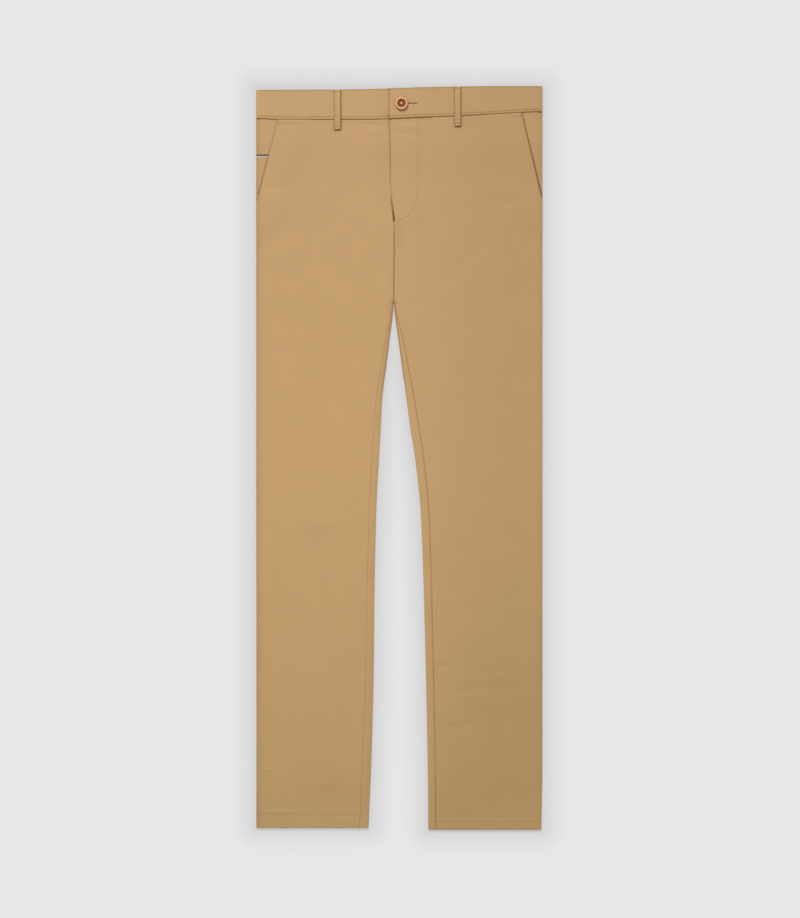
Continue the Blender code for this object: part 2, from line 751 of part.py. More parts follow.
def fly_button(base, material):
    """A button with a raised rim, a dished middle and four holes for the thread."""
    profile = []
    for point in BUTTON_PROFILE:
        profile.append((BUTTON_RADIUS * point.radius, base + BUTTON_HEIGHT * point.height))
    button = turned("button", profile, BUTTON_AT, material)
    holes = []
    for i in range(BUTTON_HOLES):
        angle = 2 * math.pi * (i + 0.5) / BUTTON_HOLES
        hole_x = BUTTON_AT[0] + BUTTON_HOLE_OFF_CENTRE * math.cos(angle)
        hole_y = BUTTON_AT[1] + BUTTON_HOLE_OFF_CENTRE * math.sin(angle)
        low, high = base - CUTTER_PAST, base + BUTTON_HEIGHT + CUTTER_PAST
        holes.append(drum(f"hole_cutter_{i}", (hole_x, hole_y), BUTTON_HOLE_RADIUS, low, high, material))
    cut(button, holes)


def buttonhole(left_band, low, high, material):
    """The keyhole cut in the left band: a round eye for the shank, and a slit towards the hip."""
    eye = drum("eye_cutter", BUTTON_AT, BUTTONHOLE_EYE_RADIUS, low, high, material)
    length = BUTTONHOLE_END - BUTTON_AT[0]
    bm = bmesh.new()
    bmesh.ops.create_cube(bm, size=1)
    bmesh.ops.scale(bm, verts=bm.verts, vec=(length, BUTTONHOLE_WIDTH, high - low))
    middle = (BUTTON_AT[0] + length / 2, BUTTON_AT[1], (low + high) / 2)
    bmesh.ops.translate(bm, verts=bm.verts, vec=middle)
    slit = place("slit_cutter", bm, material)
    cut(left_band, [eye, slit])


def button_and_hole(left_band, button_material, thread_material):
    """The button on the left band, and its thread shank, which stands on the right band under it."""
    left_top = band_topside("left", BUTTON_AT[0])
    right_top = band_topside("right", BUTTON_AT[0])
    base = left_top + GAP
    fly_button(base, button_material)
    drum("button_shank", BUTTON_AT, SHANK_RADIUS, right_top + GAP, base - GAP, thread_material)
    buttonhole(left_band, right_top + GAP / 2, left_top + CUTTER_PAST, thread_material)


def build():
    clear_scene()
    satin = make_material("satin", (0.53, 0.335, 0.158), 0.6)
    pocketing = make_material("pocketing", (0.72, 0.66, 0.55), 0.8)
    tape = make_material("contrast_tape", (0.86, 0.85, 0.82), 0.7)
    zip_tape = make_material("zip_tape", (0.5, 0.33, 0.17), 0.75)
    zip_metal = make_material("zip_metal", (0.72, 0.6, 0.38), 0.35, 1.0)
    horn = make_material("horn", (0.42, 0.13, 0.055), 0.3)
    thread = make_material("thread", (0.62, 0.42, 0.24), 0.7)
    for side in ("right", "left"):
        front_panel(side, satin)
        back_panel(side, satin)
        pocket_facing(side, satin)
        pocket_bag(side, pocketing)
        front_belt_loop(side, satin)
    coin_pocket(satin, tape)
    left_band = waistbands(satin)
    for place_name in BACK_LOOPS:
        back_belt_loop(place_name, satin)
    zip_fastener(zip_tape, zip_metal)
    button_and_hole(left_band, horn, thread)


build()
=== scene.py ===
"""Flat-front trousers in satin cotton, laid out flat: the cloth, its seams and stitches, the light.

The waist is towards +Y, the wearer's left leg towards +X, and the cloth rests on z = 0. Lengths
are metres.
"""

import math
from typing import NamedTuple

import bmesh
import bpy
import numpy as np
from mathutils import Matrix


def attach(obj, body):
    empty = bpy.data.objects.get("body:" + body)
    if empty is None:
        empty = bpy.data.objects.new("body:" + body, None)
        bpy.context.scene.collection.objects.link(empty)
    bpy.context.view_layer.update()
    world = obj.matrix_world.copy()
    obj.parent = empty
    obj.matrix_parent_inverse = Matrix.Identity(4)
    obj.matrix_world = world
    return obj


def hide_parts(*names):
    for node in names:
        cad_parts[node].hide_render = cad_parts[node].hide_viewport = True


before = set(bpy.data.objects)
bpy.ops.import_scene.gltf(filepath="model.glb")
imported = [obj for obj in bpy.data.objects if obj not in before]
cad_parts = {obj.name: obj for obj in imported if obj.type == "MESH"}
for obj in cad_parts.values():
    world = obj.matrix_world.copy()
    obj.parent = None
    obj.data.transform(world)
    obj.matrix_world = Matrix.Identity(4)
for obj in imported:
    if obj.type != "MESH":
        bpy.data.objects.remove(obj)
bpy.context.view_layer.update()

MM = 0.001

# ---------------------------------------------------------------- cloth and seams, as in the solids
CLOTH = 1.0 * MM
BAND_CLOTH = 2.0 * MM
LOOP_CLOTH = 1.2 * MM
GAP = 0.3 * MM
HEM_DEPTH = 18 * MM
HEM_TURNING = 0.35 * MM
HEM_STEP = 3.5 * MM
LEG_FULLNESS = 1.9 * MM
HEM_FULLNESS = 0.5 * MM
HEM_FULLNESS_RUN = 90 * MM
EDGE_ROLL = 9 * MM
BODY_ROLL = 60 * MM
EDGE_ROLL_SHARE = 0.7
CROTCH_DIMPLE = 0.4
BAND_FULLNESS = 0.8 * MM
LOOP_LIFT = 1.5 * MM
LOOP_LIFT_FROM = 425 * MM
LOOP_LIFT_TO = 466 * MM

# ---------------------------------------------------------------- belt loops
LOOP_WIDTH = 11 * MM
LOOP_SLACK = 0.7 * MM
LOOP_FOLD = 0.35 * MM
LOOP_FOLD_LENGTH = 9 * MM
LOOP_FOLD_STEP = 0.7
LOOP_TOP_INSET = 0.3 * MM
LOOP_FOOT_UP = 1.8 * MM
LOOP_WAIST = 0.45 * MM
LOOP_FLARE = 0.55 * MM
LOOP_FLARE_LENGTH = 10 * MM
LOOP_CORNER = 2.6 * MM
LOOP_CORNER_SHARE = 0.6
LOOP_STEPS_OFF = 2 * MM
LOOP_STEPS_DOWN = 8.5 * MM
LOOP_END_ROUND = 1.2
LOOP_HEAD_TACK = 3 * MM
LOOP_FOOT_TACK = 4.2 * MM
LOOP_TACK_HALF = 4.4 * MM
LOOP_TACK_DIP = 0.3 * MM
LOOP_TACK_WIDTH = 0.9 * MM
LOOP_STITCH_OFF = 1.9 * MM
LOOP_STITCH_DIP = 0.14 * MM
LOOP_STITCH_WIDTH = 0.6 * MM
BACK_LOOP_TOP = 536 * MM
BACK_LOOP_FOOT = 477 * MM

# ---------------------------------------------------------------- fly
FLY_CLOSED_FROM = 330 * MM
FLY_FULL = 357 * MM
FLY_UNDERLAP = 9 * MM
FLY_UNDERLAP_RUN = 14 * MM
FLY_RISE = 0.75 * MM
FLY_WIDTH = 34 * MM
FLY_FADE = 30 * MM
FLY_STEP_RUN = 22 * MM
FLY_EDGE_FLAT = 2 * MM
BAND_UNDERLAP = 38 * MM
BAND_OVER_FADE = 36 * MM
ZIP_TAPE = 1.0 * MM

# ---------------------------------------------------------------- slant pockets
POCKET_NEAR = 27 * MM
POCKET_FAR = 60 * MM
FACING_UNDER_FRONT = 32 * MM
FACING_RAISED_TO = 15 * MM
FACING_FLAT_FROM = 30 * MM
FACING_FOOT = 344 * MM
FACING_OFF_SEAM = 11 * MM
FACING_LEAVES_SEAM = 368 * MM
BAG_WIDTH = 104 * MM
BAG_FOOT = 292 * MM
BAG_OFF_SEAM = 16 * MM
BAG_CORNER = 22 * MM
BAG_CORNER_FROM = 325 * MM
COIN_POCKET_MOUTH = 443.2 * MM
COIN_POCKET_FOOT = 388 * MM
COIN_TRIM_HEIGHT = 4.6 * MM
COIN_POCKET_PRESSED = 12 * MM
COIN_POCKET_THINNED = 0.75

# ---------------------------------------------------------------- button and buttonhole
BUTTON_AT = (3.3 * MM, 517.2 * MM)
BUTTON_RADIUS = 9.0 * MM
BUTTON_HEIGHT = 3.1 * MM
BUTTON_HOLE_RADIUS = 0.95 * MM
BUTTON_HOLE_OFF_CENTRE = 1.7 * MM
BUTTONHOLE_END = 25.4 * MM
BUTTONHOLE_WIDTH = 0.7 * MM
BUTTONHOLE_CUT_OVER = 2 * MM
SHANK_RADIUS = 1.3 * MM
SHANK_GROOVE = 0.16 * MM
SHANK_TURNS = 7
SHANK_STEPS = 6
SHANK_SEGMENTS = 24

# ---------------------------------------------------------------- what the finish adds to the solids
FRONT_LIFT_FROM = 398 * MM
EDGE_ROUND = 0.5 * MM
SEAM_ROUND = {"right": 0.08 * MM, "left": 0.22 * MM}
SEAM_GAP = 0.08 * MM
SEAT_GAP = 0.02 * MM
SEAT_SEAM_INSET = 0.05 * MM
WAIST_GAP = 0.05 * MM
WAIST_ROUND = 0.22 * MM
SIDE_ROLL = 2.5 * MM
SIDE_ROLL_DROP = 0.42 * MM
MOUTH_ENDS = (8 * MM, -6 * MM)
SEAT_ENDS = (1.5 * MM, -3 * MM)
FREE_EDGE = 6 * MM
FACING_FREE_EDGE = 5 * MM
SEAM_DIP = 0.42 * MM
SEAM_DIP_WIDTH = 1.4 * MM
WAIST_DIP = 0.06 * MM
INSEAM_DIP = {"right": 0.1 * MM, "left": 0.32 * MM}
BAND_EDGE_DROP = {"right": 0.35 * MM, "left": 0.65 * MM}
BAND_EDGE_DROP_WIDTH = 1.1 * MM
BAND_SAG_RUN = 8 * MM
SEAM_LIP = 0.14 * MM
SEAM_LIP_OFF = 2.3 * MM
SEAM_LIP_WIDTH = 1.1 * MM
STITCH_DIP = 0.2 * MM
STITCH_DIP_WIDTH = 1.1 * MM
DEEPEST = 0.6 * MM
UNDERSIDE_FOLLOWS = 0.8
CREASE_SHARE = 0.9
CREASE_FADES = (1.25, 0.4)
FAR = 1.0  # farther from a seam than anything of it reaches

# Shares of the painted shade in the cloth's colour at seams, edges, folds and the button, where 1 is the
# darkest, and how wide it is.
SEAM_SHADE_WIDTH = 1.0 * MM
STITCH_SHADE_WIDTH = 0.8 * MM
STITCH_SHADE = 0.08
HEM_SHADE = 0.13
WAIST_SHADE = 0.15
WAIST_SHADE_WIDTH = 1.15 * MM
BAND_STITCH_SHADE = 0.42
BAND_TOP_SHADE = 0.62
BAND_TOP_SHADE_WIDTH = 1.5 * MM
CENTRE_SHADE = 0.42
SIDE_SHADE = {"right": 0.23, "left": 0.0}
SIDE_SHADE_WIDTH = 7 * MM
INSEAM_SHADE = {"right": 0.04, "left": 0.25}
FOLD_SHADE = 0.36
FOLD_SHADE_WIDTH = 1.4 * MM
FOLD_DARK_FROM = 70 * MM
FOLD_DARK_FULL = 130 * MM
SEAT_SHADE = 0.9
MOUTH_SHADE = {"right": 0.3, "left": 1.0}
MOUTH_SHADE_WIDTH = 1.15 * MM
MOUTH_SHADE_THINS = 0.35
MOUTH_DARK_TOP = 415 * MM
BUTTON_SHADE = 0.6
BUTTONHOLE_SHADE = 0.5
BUTTONHOLE_SHADE_WIDTH = 1.4 * MM
LOOP_EDGE_SHADE = (0.7, 1.0)
LOOP_EDGE_SHADE_WIDTH = (0.8 * MM, 1.0 * MM)
LOOP_TACK_SHADE = 0.3
LOOP_STITCH_SHADE = 0.1
FLY_SHADE = 0.16
FLY_TOP_SHADE = 0.26
FLY_FOOT_SHADE = 1.6
FLY_SHADE_WIDTH = 0.7 * MM
FLY_FOOT_SHADE_WIDTH = 1.2 * MM
FLY_DARK_FOOT = 346 * MM
FLY_DARK_TOP = 392 * MM
FLY_SHADE_FULL = 430 * MM

# How close a mesh's rows and columns are. NEAR_ lists are distances from an edge, in millimetres,
# and _COLUMNS say how many columns there are between the close ones at the two edges.
FINE = 0.3 * MM
COARSE = 4.4 * MM
GROWTH = 0.4
CREASE_STEPS = 3
NARROW_CREASE = 6
CROTCH_ROWS = 0.6 * MM
CURVED_FLY_STITCH = (341 * MM, 396 * MM, 0.8 * MM)
FLY_COLUMNS = tuple(13 + 0.9 * i for i in range(34))
NEAR_EDGE = (0.08, 0.2, 0.36, 0.55, 0.9, 1.4, 2.1, 3, 4.2, 5.6, 7.2, 9, 12)
NEAR_FOLD = (0.5, 1.2, 2.2, 4, 7)
NEAR_TRIM = (0.05, 0.14, 0.28, 0.45, 0.75)
LEAST_MOUTH = 3 * MM
FACING_SHARES = (0, 0.01, 0.03, 0.06, 0.12, 0.22, 0.35, 0.5, 0.65, 0.78, 0.88, 0.94, 0.97, 0.99, 1)
WRAP_SHARES = (0.12, 0.26, 0.4, 0.52, 0.64, 0.75, 0.84, 0.9, 0.94, 0.968, 0.986, 1.0)
FOLD_STEPS = 10
FRONT_COLUMNS, BACK_COLUMNS, BAG_COLUMNS, COIN_COLUMNS = 34, 30, 16, 8
BAND_BACK_COLUMNS, BAND_FRONT_COLUMNS = 70, 110
LOOP_COLUMNS, BACK_LOOP_COLUMNS = 12, 6
COIN_ROWS = {"coarse": 2.5 * MM, "fine": 0.2 * MM}
BAND_ROWS = {"coarse": 2.2 * MM, "fine": 0.2 * MM}
BAND_STITCH_ROWS = (1.6 * MM, 5.6 * MM, 0.4 * MM)
LOOP_ROWS = {"coarse": 0.9 * MM, "fine": 0.12 * MM}
BACK_LOOP_ROWS = {"coarse": 2.5 * MM, "fine": 0.15 * MM}

# The maps of a mesh that its cloth reads.
FLOW = "flow"
SHADE = "shade"


# ---------------------------------------------------------------- waves in the cloth
class Pucker(NamedTuple):
    """The small even waves that a row of stitches pulls into the cloth beside it."""

    height: float
    reach: float
    length: float
    seed: int


HEM_PUCKER = Pucker(0.08 * MM, 5 * MM, 6.5 * MM, 4)
WAIST_PUCKER = Pucker(0.13 * MM, 9 * MM, 17 * MM, 2)
INSEAM_PUCKER = Pucker(0.08 * MM, 5 * MM, 15 * MM, 7)
BAND_PUCKER = Pucker(0.08 * MM, 5 * MM, 11.05 * MM, 5)
PUCKER_WANDER = 35 * MM
PUCKER_UNEVENNESS = 3


class Wave(NamedTuple):
    """A slow uneven rise and fall of the cloth."""

    height: float
    size: float
    seed: int


SMALL_WAVE = Wave(0.1 * MM, 45 * MM, 1)
BROAD_WAVE = Wave(0.13 * MM, 110 * MM, 3)
BAND_WAVE = Wave(0.13 * MM, 60 * MM, 6)
FACING_WAVE = Wave(0.1 * MM, 30 * MM, 8)


class Ripple(NamedTuple):
    """One of the ripples that a wave is made of: how quick it is each way, and what its seed does."""

    across: float
    along: float
    turn: float


RIPPLES = (Ripple(2.1, 1.3, 1.7), Ripple(1.1, -2.3, 3.1), Ripple(3.3, 0.7, 5.3))
RIPPLE_TURNS = 6


# ---------------------------------------------------------------- kinds and rows of stitches
class Stitch(NamedTuple):
    """A kind of stitch: how far it is to the next, its own length, and the radius of its thread."""

    pitch: float
    length: float
    thread: float


SEAM_STITCH = Stitch(3.1 * MM, 2.48 * MM, 0.24 * MM)
LOOP_TACK = Stitch(0.55 * MM, 1.0 * MM, 0.3 * MM)
POCKET_TACK = Stitch(0.5 * MM, 0.8 * MM, 0.26 * MM)
PURL_STITCH = Stitch(1.3 * MM, 1.1 * MM, 0.34 * MM)
BUTTON_STRAND = Stitch(0.3 * MM, 0.75 * MM, 0.38 * MM)
STITCH_UNEVENNESS = 0.12
STITCH_ABOVE = 0.03 * MM
PURL_ABOVE = 0.1 * MM
TACK_ABOVE = 0.12 * MM
PATH_POINTS = 0.8 * MM
CLOSE_POINTS = 0.3 * MM
CORNER_CUTS = (0.25, 0.75)
BAND_STITCH_OFF = 3.6 * MM
BAND_STITCH_FROM = 3 * MM
BAND_STITCH_TO = {"right": -1.0 * MM, "left": 1.2 * MM}
BAND_STITCH_POINTS = 240
HEM_STITCH_FROM = 1.5 * MM
HEM_STITCH_TO = 1.0 * MM
LOOP_TACK_POINTS = 24
POCKET_STITCH_OFF = 1.7 * MM
POCKET_STITCH_SHORT = (3 * MM, 6 * MM)
POCKET_TACK_IN = 0.8 * MM
POCKET_TACK_DOWN = 5 * MM
POCKET_TACK_LENGTH = 3.2 * MM
PURL_OFF = 0.45 * MM
PURL_UNDER_BUTTON = 2 * MM
PURL_TURN = np.linspace(0.3, math.pi - 0.3, 8)
STRANDS = (-0.34 * MM, 0, 0.34 * MM)
STRAND_DEPTH = 0.5 * MM
STRAND_RISE = 0.95 * MM
STRAND_STEPS = 12


# ---------------------------------------------------------------- outlines, creases and hollows
class LegLine(NamedTuple):
    """Where the folded edges of the legs lie at one height, and how far the backs come round them."""

    place: str
    height: float
    right_outer: float
    right_inner: float
    left_inner: float
    left_outer: float
    right_wrap: float
    left_wrap: float


LEG_LINES = (
    LegLine("waist", 506, -209.1, -7.8, -7.8, 208.9, 1.6, 1.6),
    LegLine("hip", 380, -209.1, -7.8, -7.8, 209.3, 1.6, 1.6),
    LegLine("crotch", 226, -209.1, -8.3, -7.7, 209.3, 1.6, 1.6),
    LegLine("under the crotch", 203, -209.1, -10.2, -5.7, 209.3, 3.0, 3.4),
    LegLine("fork", 180, -209.1, -13.4, -2.4, 209.3, 4.8, 6.4),
    LegLine("thigh", 135, -209.0, -18.9, 3.7, 209.3, 7.2, 9.0),
    LegLine("mid thigh", 92, -209.0, -24.6, 9.7, 209.3, 8.6, 11.2),
    LegLine("low thigh", 46, -209.1, -27.2, 15.8, 209.3, 9.4, 12.8),
    LegLine("above knee", 4, -209.1, -29.4, 22.4, 209.3, 9.7, 12.8),
    LegLine("knee", -62, -209.1, -33.2, 30.0, 209.3, 9.9, 12.2),
    LegLine("under knee", -127, -209.0, -35.0, 33.5, 209.3, 10.2, 11.8),
    LegLine("upper calf", -193, -208.9, -36.3, 35.7, 209.2, 10.6, 11.5),
    LegLine("calf", -324, -208.8, -37.7, 39.1, 209.2, 11.4, 11.2),
    LegLine("ankle", -456, -208.8, -41.4, 41.7, 209.1, 12.6, 11.0),
    LegLine("hem", -542, -208.9, -45.2, 42.4, 207.6, 13.0, 10.9),
)
HEM_HEIGHT = {"right": -540.4 * MM, "left": -543.0 * MM}
CROTCH = (-8.0 * MM, 226 * MM)
WAIST_FOLLOWS_FROM = 345 * MM
WAIST_HEIGHT = 495 * MM


class WaistLine(NamedTuple):
    """The two edges of the waistband at one place across the waist."""

    place: str
    across: float
    seam: float
    top: float


WAIST_LINES = (
    WaistLine("right side", -209.1, 495.9, 537.3),
    WaistLine("right pocket", -166, 493.7, 537.6),
    WaistLine("right loop", -80, 494.0, 538.0),
    WaistLine("front edge", -15, 494.8, 539.5),
    WaistLine("buttonhole", 31, 496.9, 541.0),
    WaistLine("left loop", 80, 498.7, 542.3),
    WaistLine("left pocket", 140, 501.8, 542.8),
    WaistLine("left side", 209.3, 505.9, 543.0),
)


class FlyLine(NamedTuple):
    """The front edge of the fly, and the centre seam below it, at one height."""

    place: str
    height: float
    edge: float


FLY_LINES = (
    FlyLine("waistband top", 540, -15.2),
    FlyLine("waist seam", 495, -14.4),
    FlyLine("upper fly", 455, -12.8),
    FlyLine("lower fly", 395, -12.2),
    FlyLine("fly curve", 370, -10.2),
    FlyLine("fly foot", 346, -7.7),
    FlyLine("centre seam", 300, -7.3),
    FlyLine("crotch", 226, -8.0),
)


class Slant(NamedTuple):
    """A pocket mouth: a straight edge from the waist seam down to the side seam."""

    top: tuple
    foot: tuple


SLANTS = {
    "right": Slant((-177.6 * MM, 493.8 * MM), (-209.1 * MM, 372 * MM)),
    "left": Slant((178.9 * MM, 503.9 * MM), (209.3 * MM, 378 * MM)),
}
FRONT_LOOPS = {"right": (-90.0 * MM, 477.2 * MM), "left": (85.3 * MM, 482.2 * MM)}
BACK_LOOPS = {"right": -122 * MM, "centre": -6 * MM, "left": 122 * MM}
INWARDS = {"right": 1, "left": -1}


class Crease(NamedTuple):
    """A soft ridge, or a trough where its height is under 0, along a line in the front. Millimetres."""

    place: str
    start: tuple
    end: tuple
    width: float
    height: float


CREASES = (
    Crease("left hip, across", (118, 377), (168, 372), 9, -0.36),
    Crease("left hip, under the pocket", (199, 371), (198, 328), 5, -0.3),
    Crease("left thigh, fan to the crotch", (140, 336), (56, 246), 8, -0.26),
    Crease("left thigh, fan's ridge", (152, 318), (72, 232), 9, 0.14),
    Crease("left thigh, outer", (176, 300), (120, 214), 11, -0.2),
    Crease("left thigh, across", (72, 285), (120, 273), 8, -0.22),
    Crease("right of the fly, first ripple", (0, 486), (33, 481), 3.6, 0.3),
    Crease("right of the fly, second ripple", (-6, 475), (27, 471), 3.4, -0.24),
    Crease("right of the fly, third ripple", (-8, 436), (6, 426), 4, -0.2),
    Crease("left of the fly, under the seam", (-58, 488), (-17, 484), 2.8, -0.3),
    Crease("left of the fly, below it", (-50, 478), (-22, 474), 4, 0.22),
    Crease("beside the centre seam", (1.5, 338), (0.5, 300), 3.6, -0.34),
    Crease("right of the centre seam, low", (-14, 300), (-16, 246), 4, -0.18),
    Crease("right hip, under the pocket", (-200, 398), (-164, 394), 5, -0.26),
    Crease("right hip, lower", (-196, 378), (-170, 366), 7, 0.2),
    Crease("right thigh, across", (-165, 155), (-92, 152), 9, -0.18),
    Crease("right thigh, fan", (-60, 196), (-128, 262), 10, 0.18),
    Crease("right knee, outer ridge", (-150, -116), (-126, -98), 5, 0.18),
    Crease("right knee, ridge", (-126, -96), (-90, -97), 4.5, 0.17),
    Crease("right knee, hollow", (-144, -110), (-94, -109), 8, -0.2),
    Crease("right knee, lower ridge", (-136, -158), (-80, -157), 4.5, 0.14),
    Crease("right knee, outer", (-199, -180), (-146, -128), 6, 0.16),
    Crease("right knee, inner", (-84, -92), (-58, -62), 8, -0.2),
    Crease("left knee, outer", (156, -210), (189, -174), 5, -0.34),
    Crease("left knee, outer ridge", (150, -202), (178, -166), 6, 0.2),
    Crease("left calf, crease", (78, -338), (192, -335), 8.5, -0.42),
    Crease("left calf, crease's lip", (84, -347.2), (182, -345), 4.5, 0.14),
    Crease("left calf, above", (52, -305), (72, -303), 4, -0.3),
    Crease("left calf, above, outwards", (72, -316), (178, -308), 7, -0.2),
    Crease("left calf, below", (60, -392), (116, -391), 4, -0.26),
    Crease("left calf, fan", (108, -378), (150, -286), 9, 0.2),
    Crease("right ankle, tuck", (-198, -455.5), (-184, -455.5), 1.5, 0.34),
    Crease("right hem, pucker", (-192, -516.6), (-156, -516.6), 1.7, 0.4),
    Crease("right ankle, broad", (-160, -488), (-70, -486), 12, -0.34),
    Crease("right ankle, above", (-150, -446), (-80, -448), 14, 0.2),
    Crease("left hem, outer", (186, -468), (207, -505), 6, -0.3),
    Crease("left ankle, across", (66, -452), (130, -448), 9, 0.16),
)


class PaintedShadePatch(NamedTuple):
    """A patch of painted shade, where less light falls; it does not lower the cloth. Millimetres, and a share
    of a seam's painted shade.
    """

    place: str
    across: float
    height: float
    reach: tuple
    share: float


PAINTED_SHADE_PATCHES = (
    PaintedShadePatch("beside the fly, at the waist seam", -19, 499, (6, 9), 0.16),
    PaintedShadePatch("where the fly meets the waist seam", -12.0, 493.8, (1.3, 1.1), 0.5),
    PaintedShadePatch("end of the buttonhole", 25.6, 518.4, (1.5, 1.1), 0.4),
    PaintedShadePatch("beside the button", 13.0, 518.6, (0.9, 2.6), 0.4),
    PaintedShadePatch("right of the centre seam", 1, 318, (5, 24), 0.08),
    PaintedShadePatch("left of the centre seam", -13, 266, (5, 26), 0.06),
    PaintedShadePatch("right knee", -118, -112, (30, 17), 0.055),
    PaintedShadePatch("right ankle", -104, -491, (44, 13), 0.06),
    PaintedShadePatch("left calf, above the crease", 128, -330, (62, 12), 0.035),
    PaintedShadePatch("left ankle", 150, -480, (60, 30), 0.02),
)


class Curve:
    """A smooth curve through a table's points, given in millimetres, for whole arrays at once."""

    def __init__(self, rows, key, column):
        points = sorted((getattr(row, key) * MM, getattr(row, column) * MM) for row in rows)
        self.at, self.value = (np.array(numbers) for numbers in zip(*points))
        at, value = (np.pad(numbers, 1, mode="edge") for numbers in (self.at, self.value))
        self.slope = (value[2:] - value[:-2]) / (at[2:] - at[:-2])

    def __call__(self, t):
        t = np.clip(t, self.at[0], self.at[-1])
        i = np.clip(np.searchsorted(self.at, t, side="right") - 1, 0, len(self.at) - 2)
        span = self.at[i + 1] - self.at[i]
        u = (t - self.at[i]) / span
        ends = self.value[i] * (1 + 2 * u) * (1 - u) ** 2 + self.value[i + 1] * u * u * (3 - 2 * u)
        return ends + span * u * (1 - u) * (self.slope[i] * (1 - u) - self.slope[i + 1] * u)


EDGES = {
    (side, edge): Curve(LEG_LINES, "height", f"{side}_{edge}")
    for side in INWARDS
    for edge in ("outer", "inner", "wrap")
}
fly_edge = Curve(FLY_LINES, "height", "edge")
waist_seam = Curve(WAIST_LINES, "across", "seam")
waist_top = Curve(WAIST_LINES, "across", "top")


# ---------------------------------------------------------------- places on the cloth
def smoothstep(start, end, value):
    share = np.clip((value - start) / (end - start), 0, 1)
    return share * share * (3 - 2 * share)


def bell(distance, width):
    return np.exp(-((distance / width) ** 2))


def with_the_waist(x, height):
    """The height of a section line at x: level on the legs, and along the waist seam at the top."""
    share = smoothstep(WAIST_FOLLOWS_FROM, WAIST_HEIGHT, height)
    return height + share * (waist_seam(x) - WAIST_GAP / 2 - WAIST_HEIGHT)


def slant_edge(side, y):
    (top_x, top_y), (foot_x, foot_y) = SLANTS[side]
    share = np.maximum(0, (y - foot_y) / (top_y - foot_y))
    return foot_x + share * (top_x - foot_x)


def distance_to(x, y, start, end):
    """The distance from each point to a straight line between two others."""
    along = (end[0] - start[0], end[1] - start[1])
    share = ((x - start[0]) * along[0] + (y - start[1]) * along[1]) / (along[0] ** 2 + along[1] ** 2)
    share = np.clip(share, 0, 1)
    return np.hypot(x - start[0] - share * along[0], y - start[1] - share * along[1])


def distance_to_path(x, y, path):
    return np.min([distance_to(x, y, a, b) for a, b in zip(path, path[1:])], axis=0)


# ---------------------------------------------------------------- heights of the layers
def cloth_at(side, y):
    hem_line = HEM_HEIGHT[side] + HEM_DEPTH
    return CLOTH + HEM_TURNING * smoothstep(hem_line + HEM_STEP, hem_line - HEM_STEP, y)


def loop_lift(y):
    return LOOP_LIFT * smoothstep(LOOP_LIFT_FROM, LOOP_LIFT_TO, y)


def rolled(distance):
    """0 at a folded edge, rising quickly over the edge's roll and slowly over the leg, to 1."""
    quick = 1 - (1 - np.clip(distance / EDGE_ROLL, 0, 1)) ** 2
    slow = 1 - (1 - np.clip(distance / BODY_ROLL, 0, 1)) ** 2
    return EDGE_ROLL_SHARE * quick + (1 - EDGE_ROLL_SHARE) * slow


def fullness(side, x, y):
    """How much higher the front lies than at the folded edges, where it touches the back.

    The back rises late and steeply to the belt loops under the band, and the front sooner.
    """
    fold = cloth_at(side, y) + GAP / 2
    from_outer = np.abs(x - EDGES[side, "outer"](y)) - fold
    above = y - CROTCH[1]
    on_leg = np.abs(x - EDGES[side, "inner"](y)) - fold
    on_seat = np.hypot(x - CROTCH[0], above) + CROTCH_DIMPLE * above - fold
    from_inner = np.where(above < 0, on_leg, on_seat)
    run = smoothstep(0, HEM_FULLNESS_RUN, y - HEM_HEIGHT[side])
    sooner = LOOP_LIFT * smoothstep(FRONT_LIFT_FROM, LOOP_LIFT_TO, y) - loop_lift(y)
    most = HEM_FULLNESS + (LEG_FULLNESS - HEM_FULLNESS) * run + sooner
    return most * rolled(from_outer) * rolled(from_inner)


def front_rest(side, x, y):
    return loop_lift(y) + cloth_at(side, y) + GAP + fullness(side, x, y)


def front_underside(side, x, y):
    near = smoothstep(POCKET_FAR, POCKET_NEAR, distance_to(x, y, *SLANTS[side]))
    height = front_rest(side, x, y) + (CLOTH + GAP) * near
    past = x - fly_edge(y)
    along = smoothstep(FLY_CLOSED_FROM, FLY_FULL, y)
    if side == "left":
        return height + FLY_RISE * along * smoothstep(FLY_WIDTH + FLY_FADE, FLY_WIDTH, past)
    dipped = loop_lift(y) + CLOTH + GAP + ZIP_TAPE + GAP
    return height + along * smoothstep(-FLY_STEP_RUN, -FLY_EDGE_FLAT, past) * (dipped - height)


def pocket_underside(side, x, y):
    raised = smoothstep(FACING_FLAT_FROM, FACING_RAISED_TO, distance_to(x, y, *SLANTS[side]))
    outer = EDGES[side, "outer"](y)
    shows = np.abs(x - outer) < np.abs(slant_edge(side, y) - outer)
    return loop_lift(y) + CLOTH + GAP + np.where(shows, 1.0, raised) * fullness(side, x, y)


def band_underside(side, x):
    edge = EDGES[side, "outer"](WAIST_HEIGHT)
    rest = BAND_CLOTH + GAP + BAND_FULLNESS * rolled(np.abs(x - edge) - BAND_CLOTH - GAP)
    past = x - fly_edge(WAIST_HEIGHT)
    if side == "left":
        at_fly = BAND_CLOTH * 2 + GAP * 2
        share = smoothstep(BAND_UNDERLAP + BAND_OVER_FADE, BAND_UNDERLAP, past)
    else:
        at_fly = BAND_CLOTH + GAP
        share = smoothstep(-FLY_STEP_RUN, -FLY_EDGE_FLAT, past)
    return LOOP_LIFT + rest + (at_fly - rest) * share


# ---------------------------------------------------------------- lines of stitches, in plan
def smooth_path(points, rounds=3):
    """A path with its corners cut, which keeps its two ends."""
    for _ in range(rounds):
        cut = [points[0]]
        for a, b in zip(points, points[1:]):
            cut += [(a[0] * (1 - t) + b[0] * t, a[1] * (1 - t) + b[1] * t) for t in CORNER_CUTS]
        points = [*cut, points[-1]]
    return points


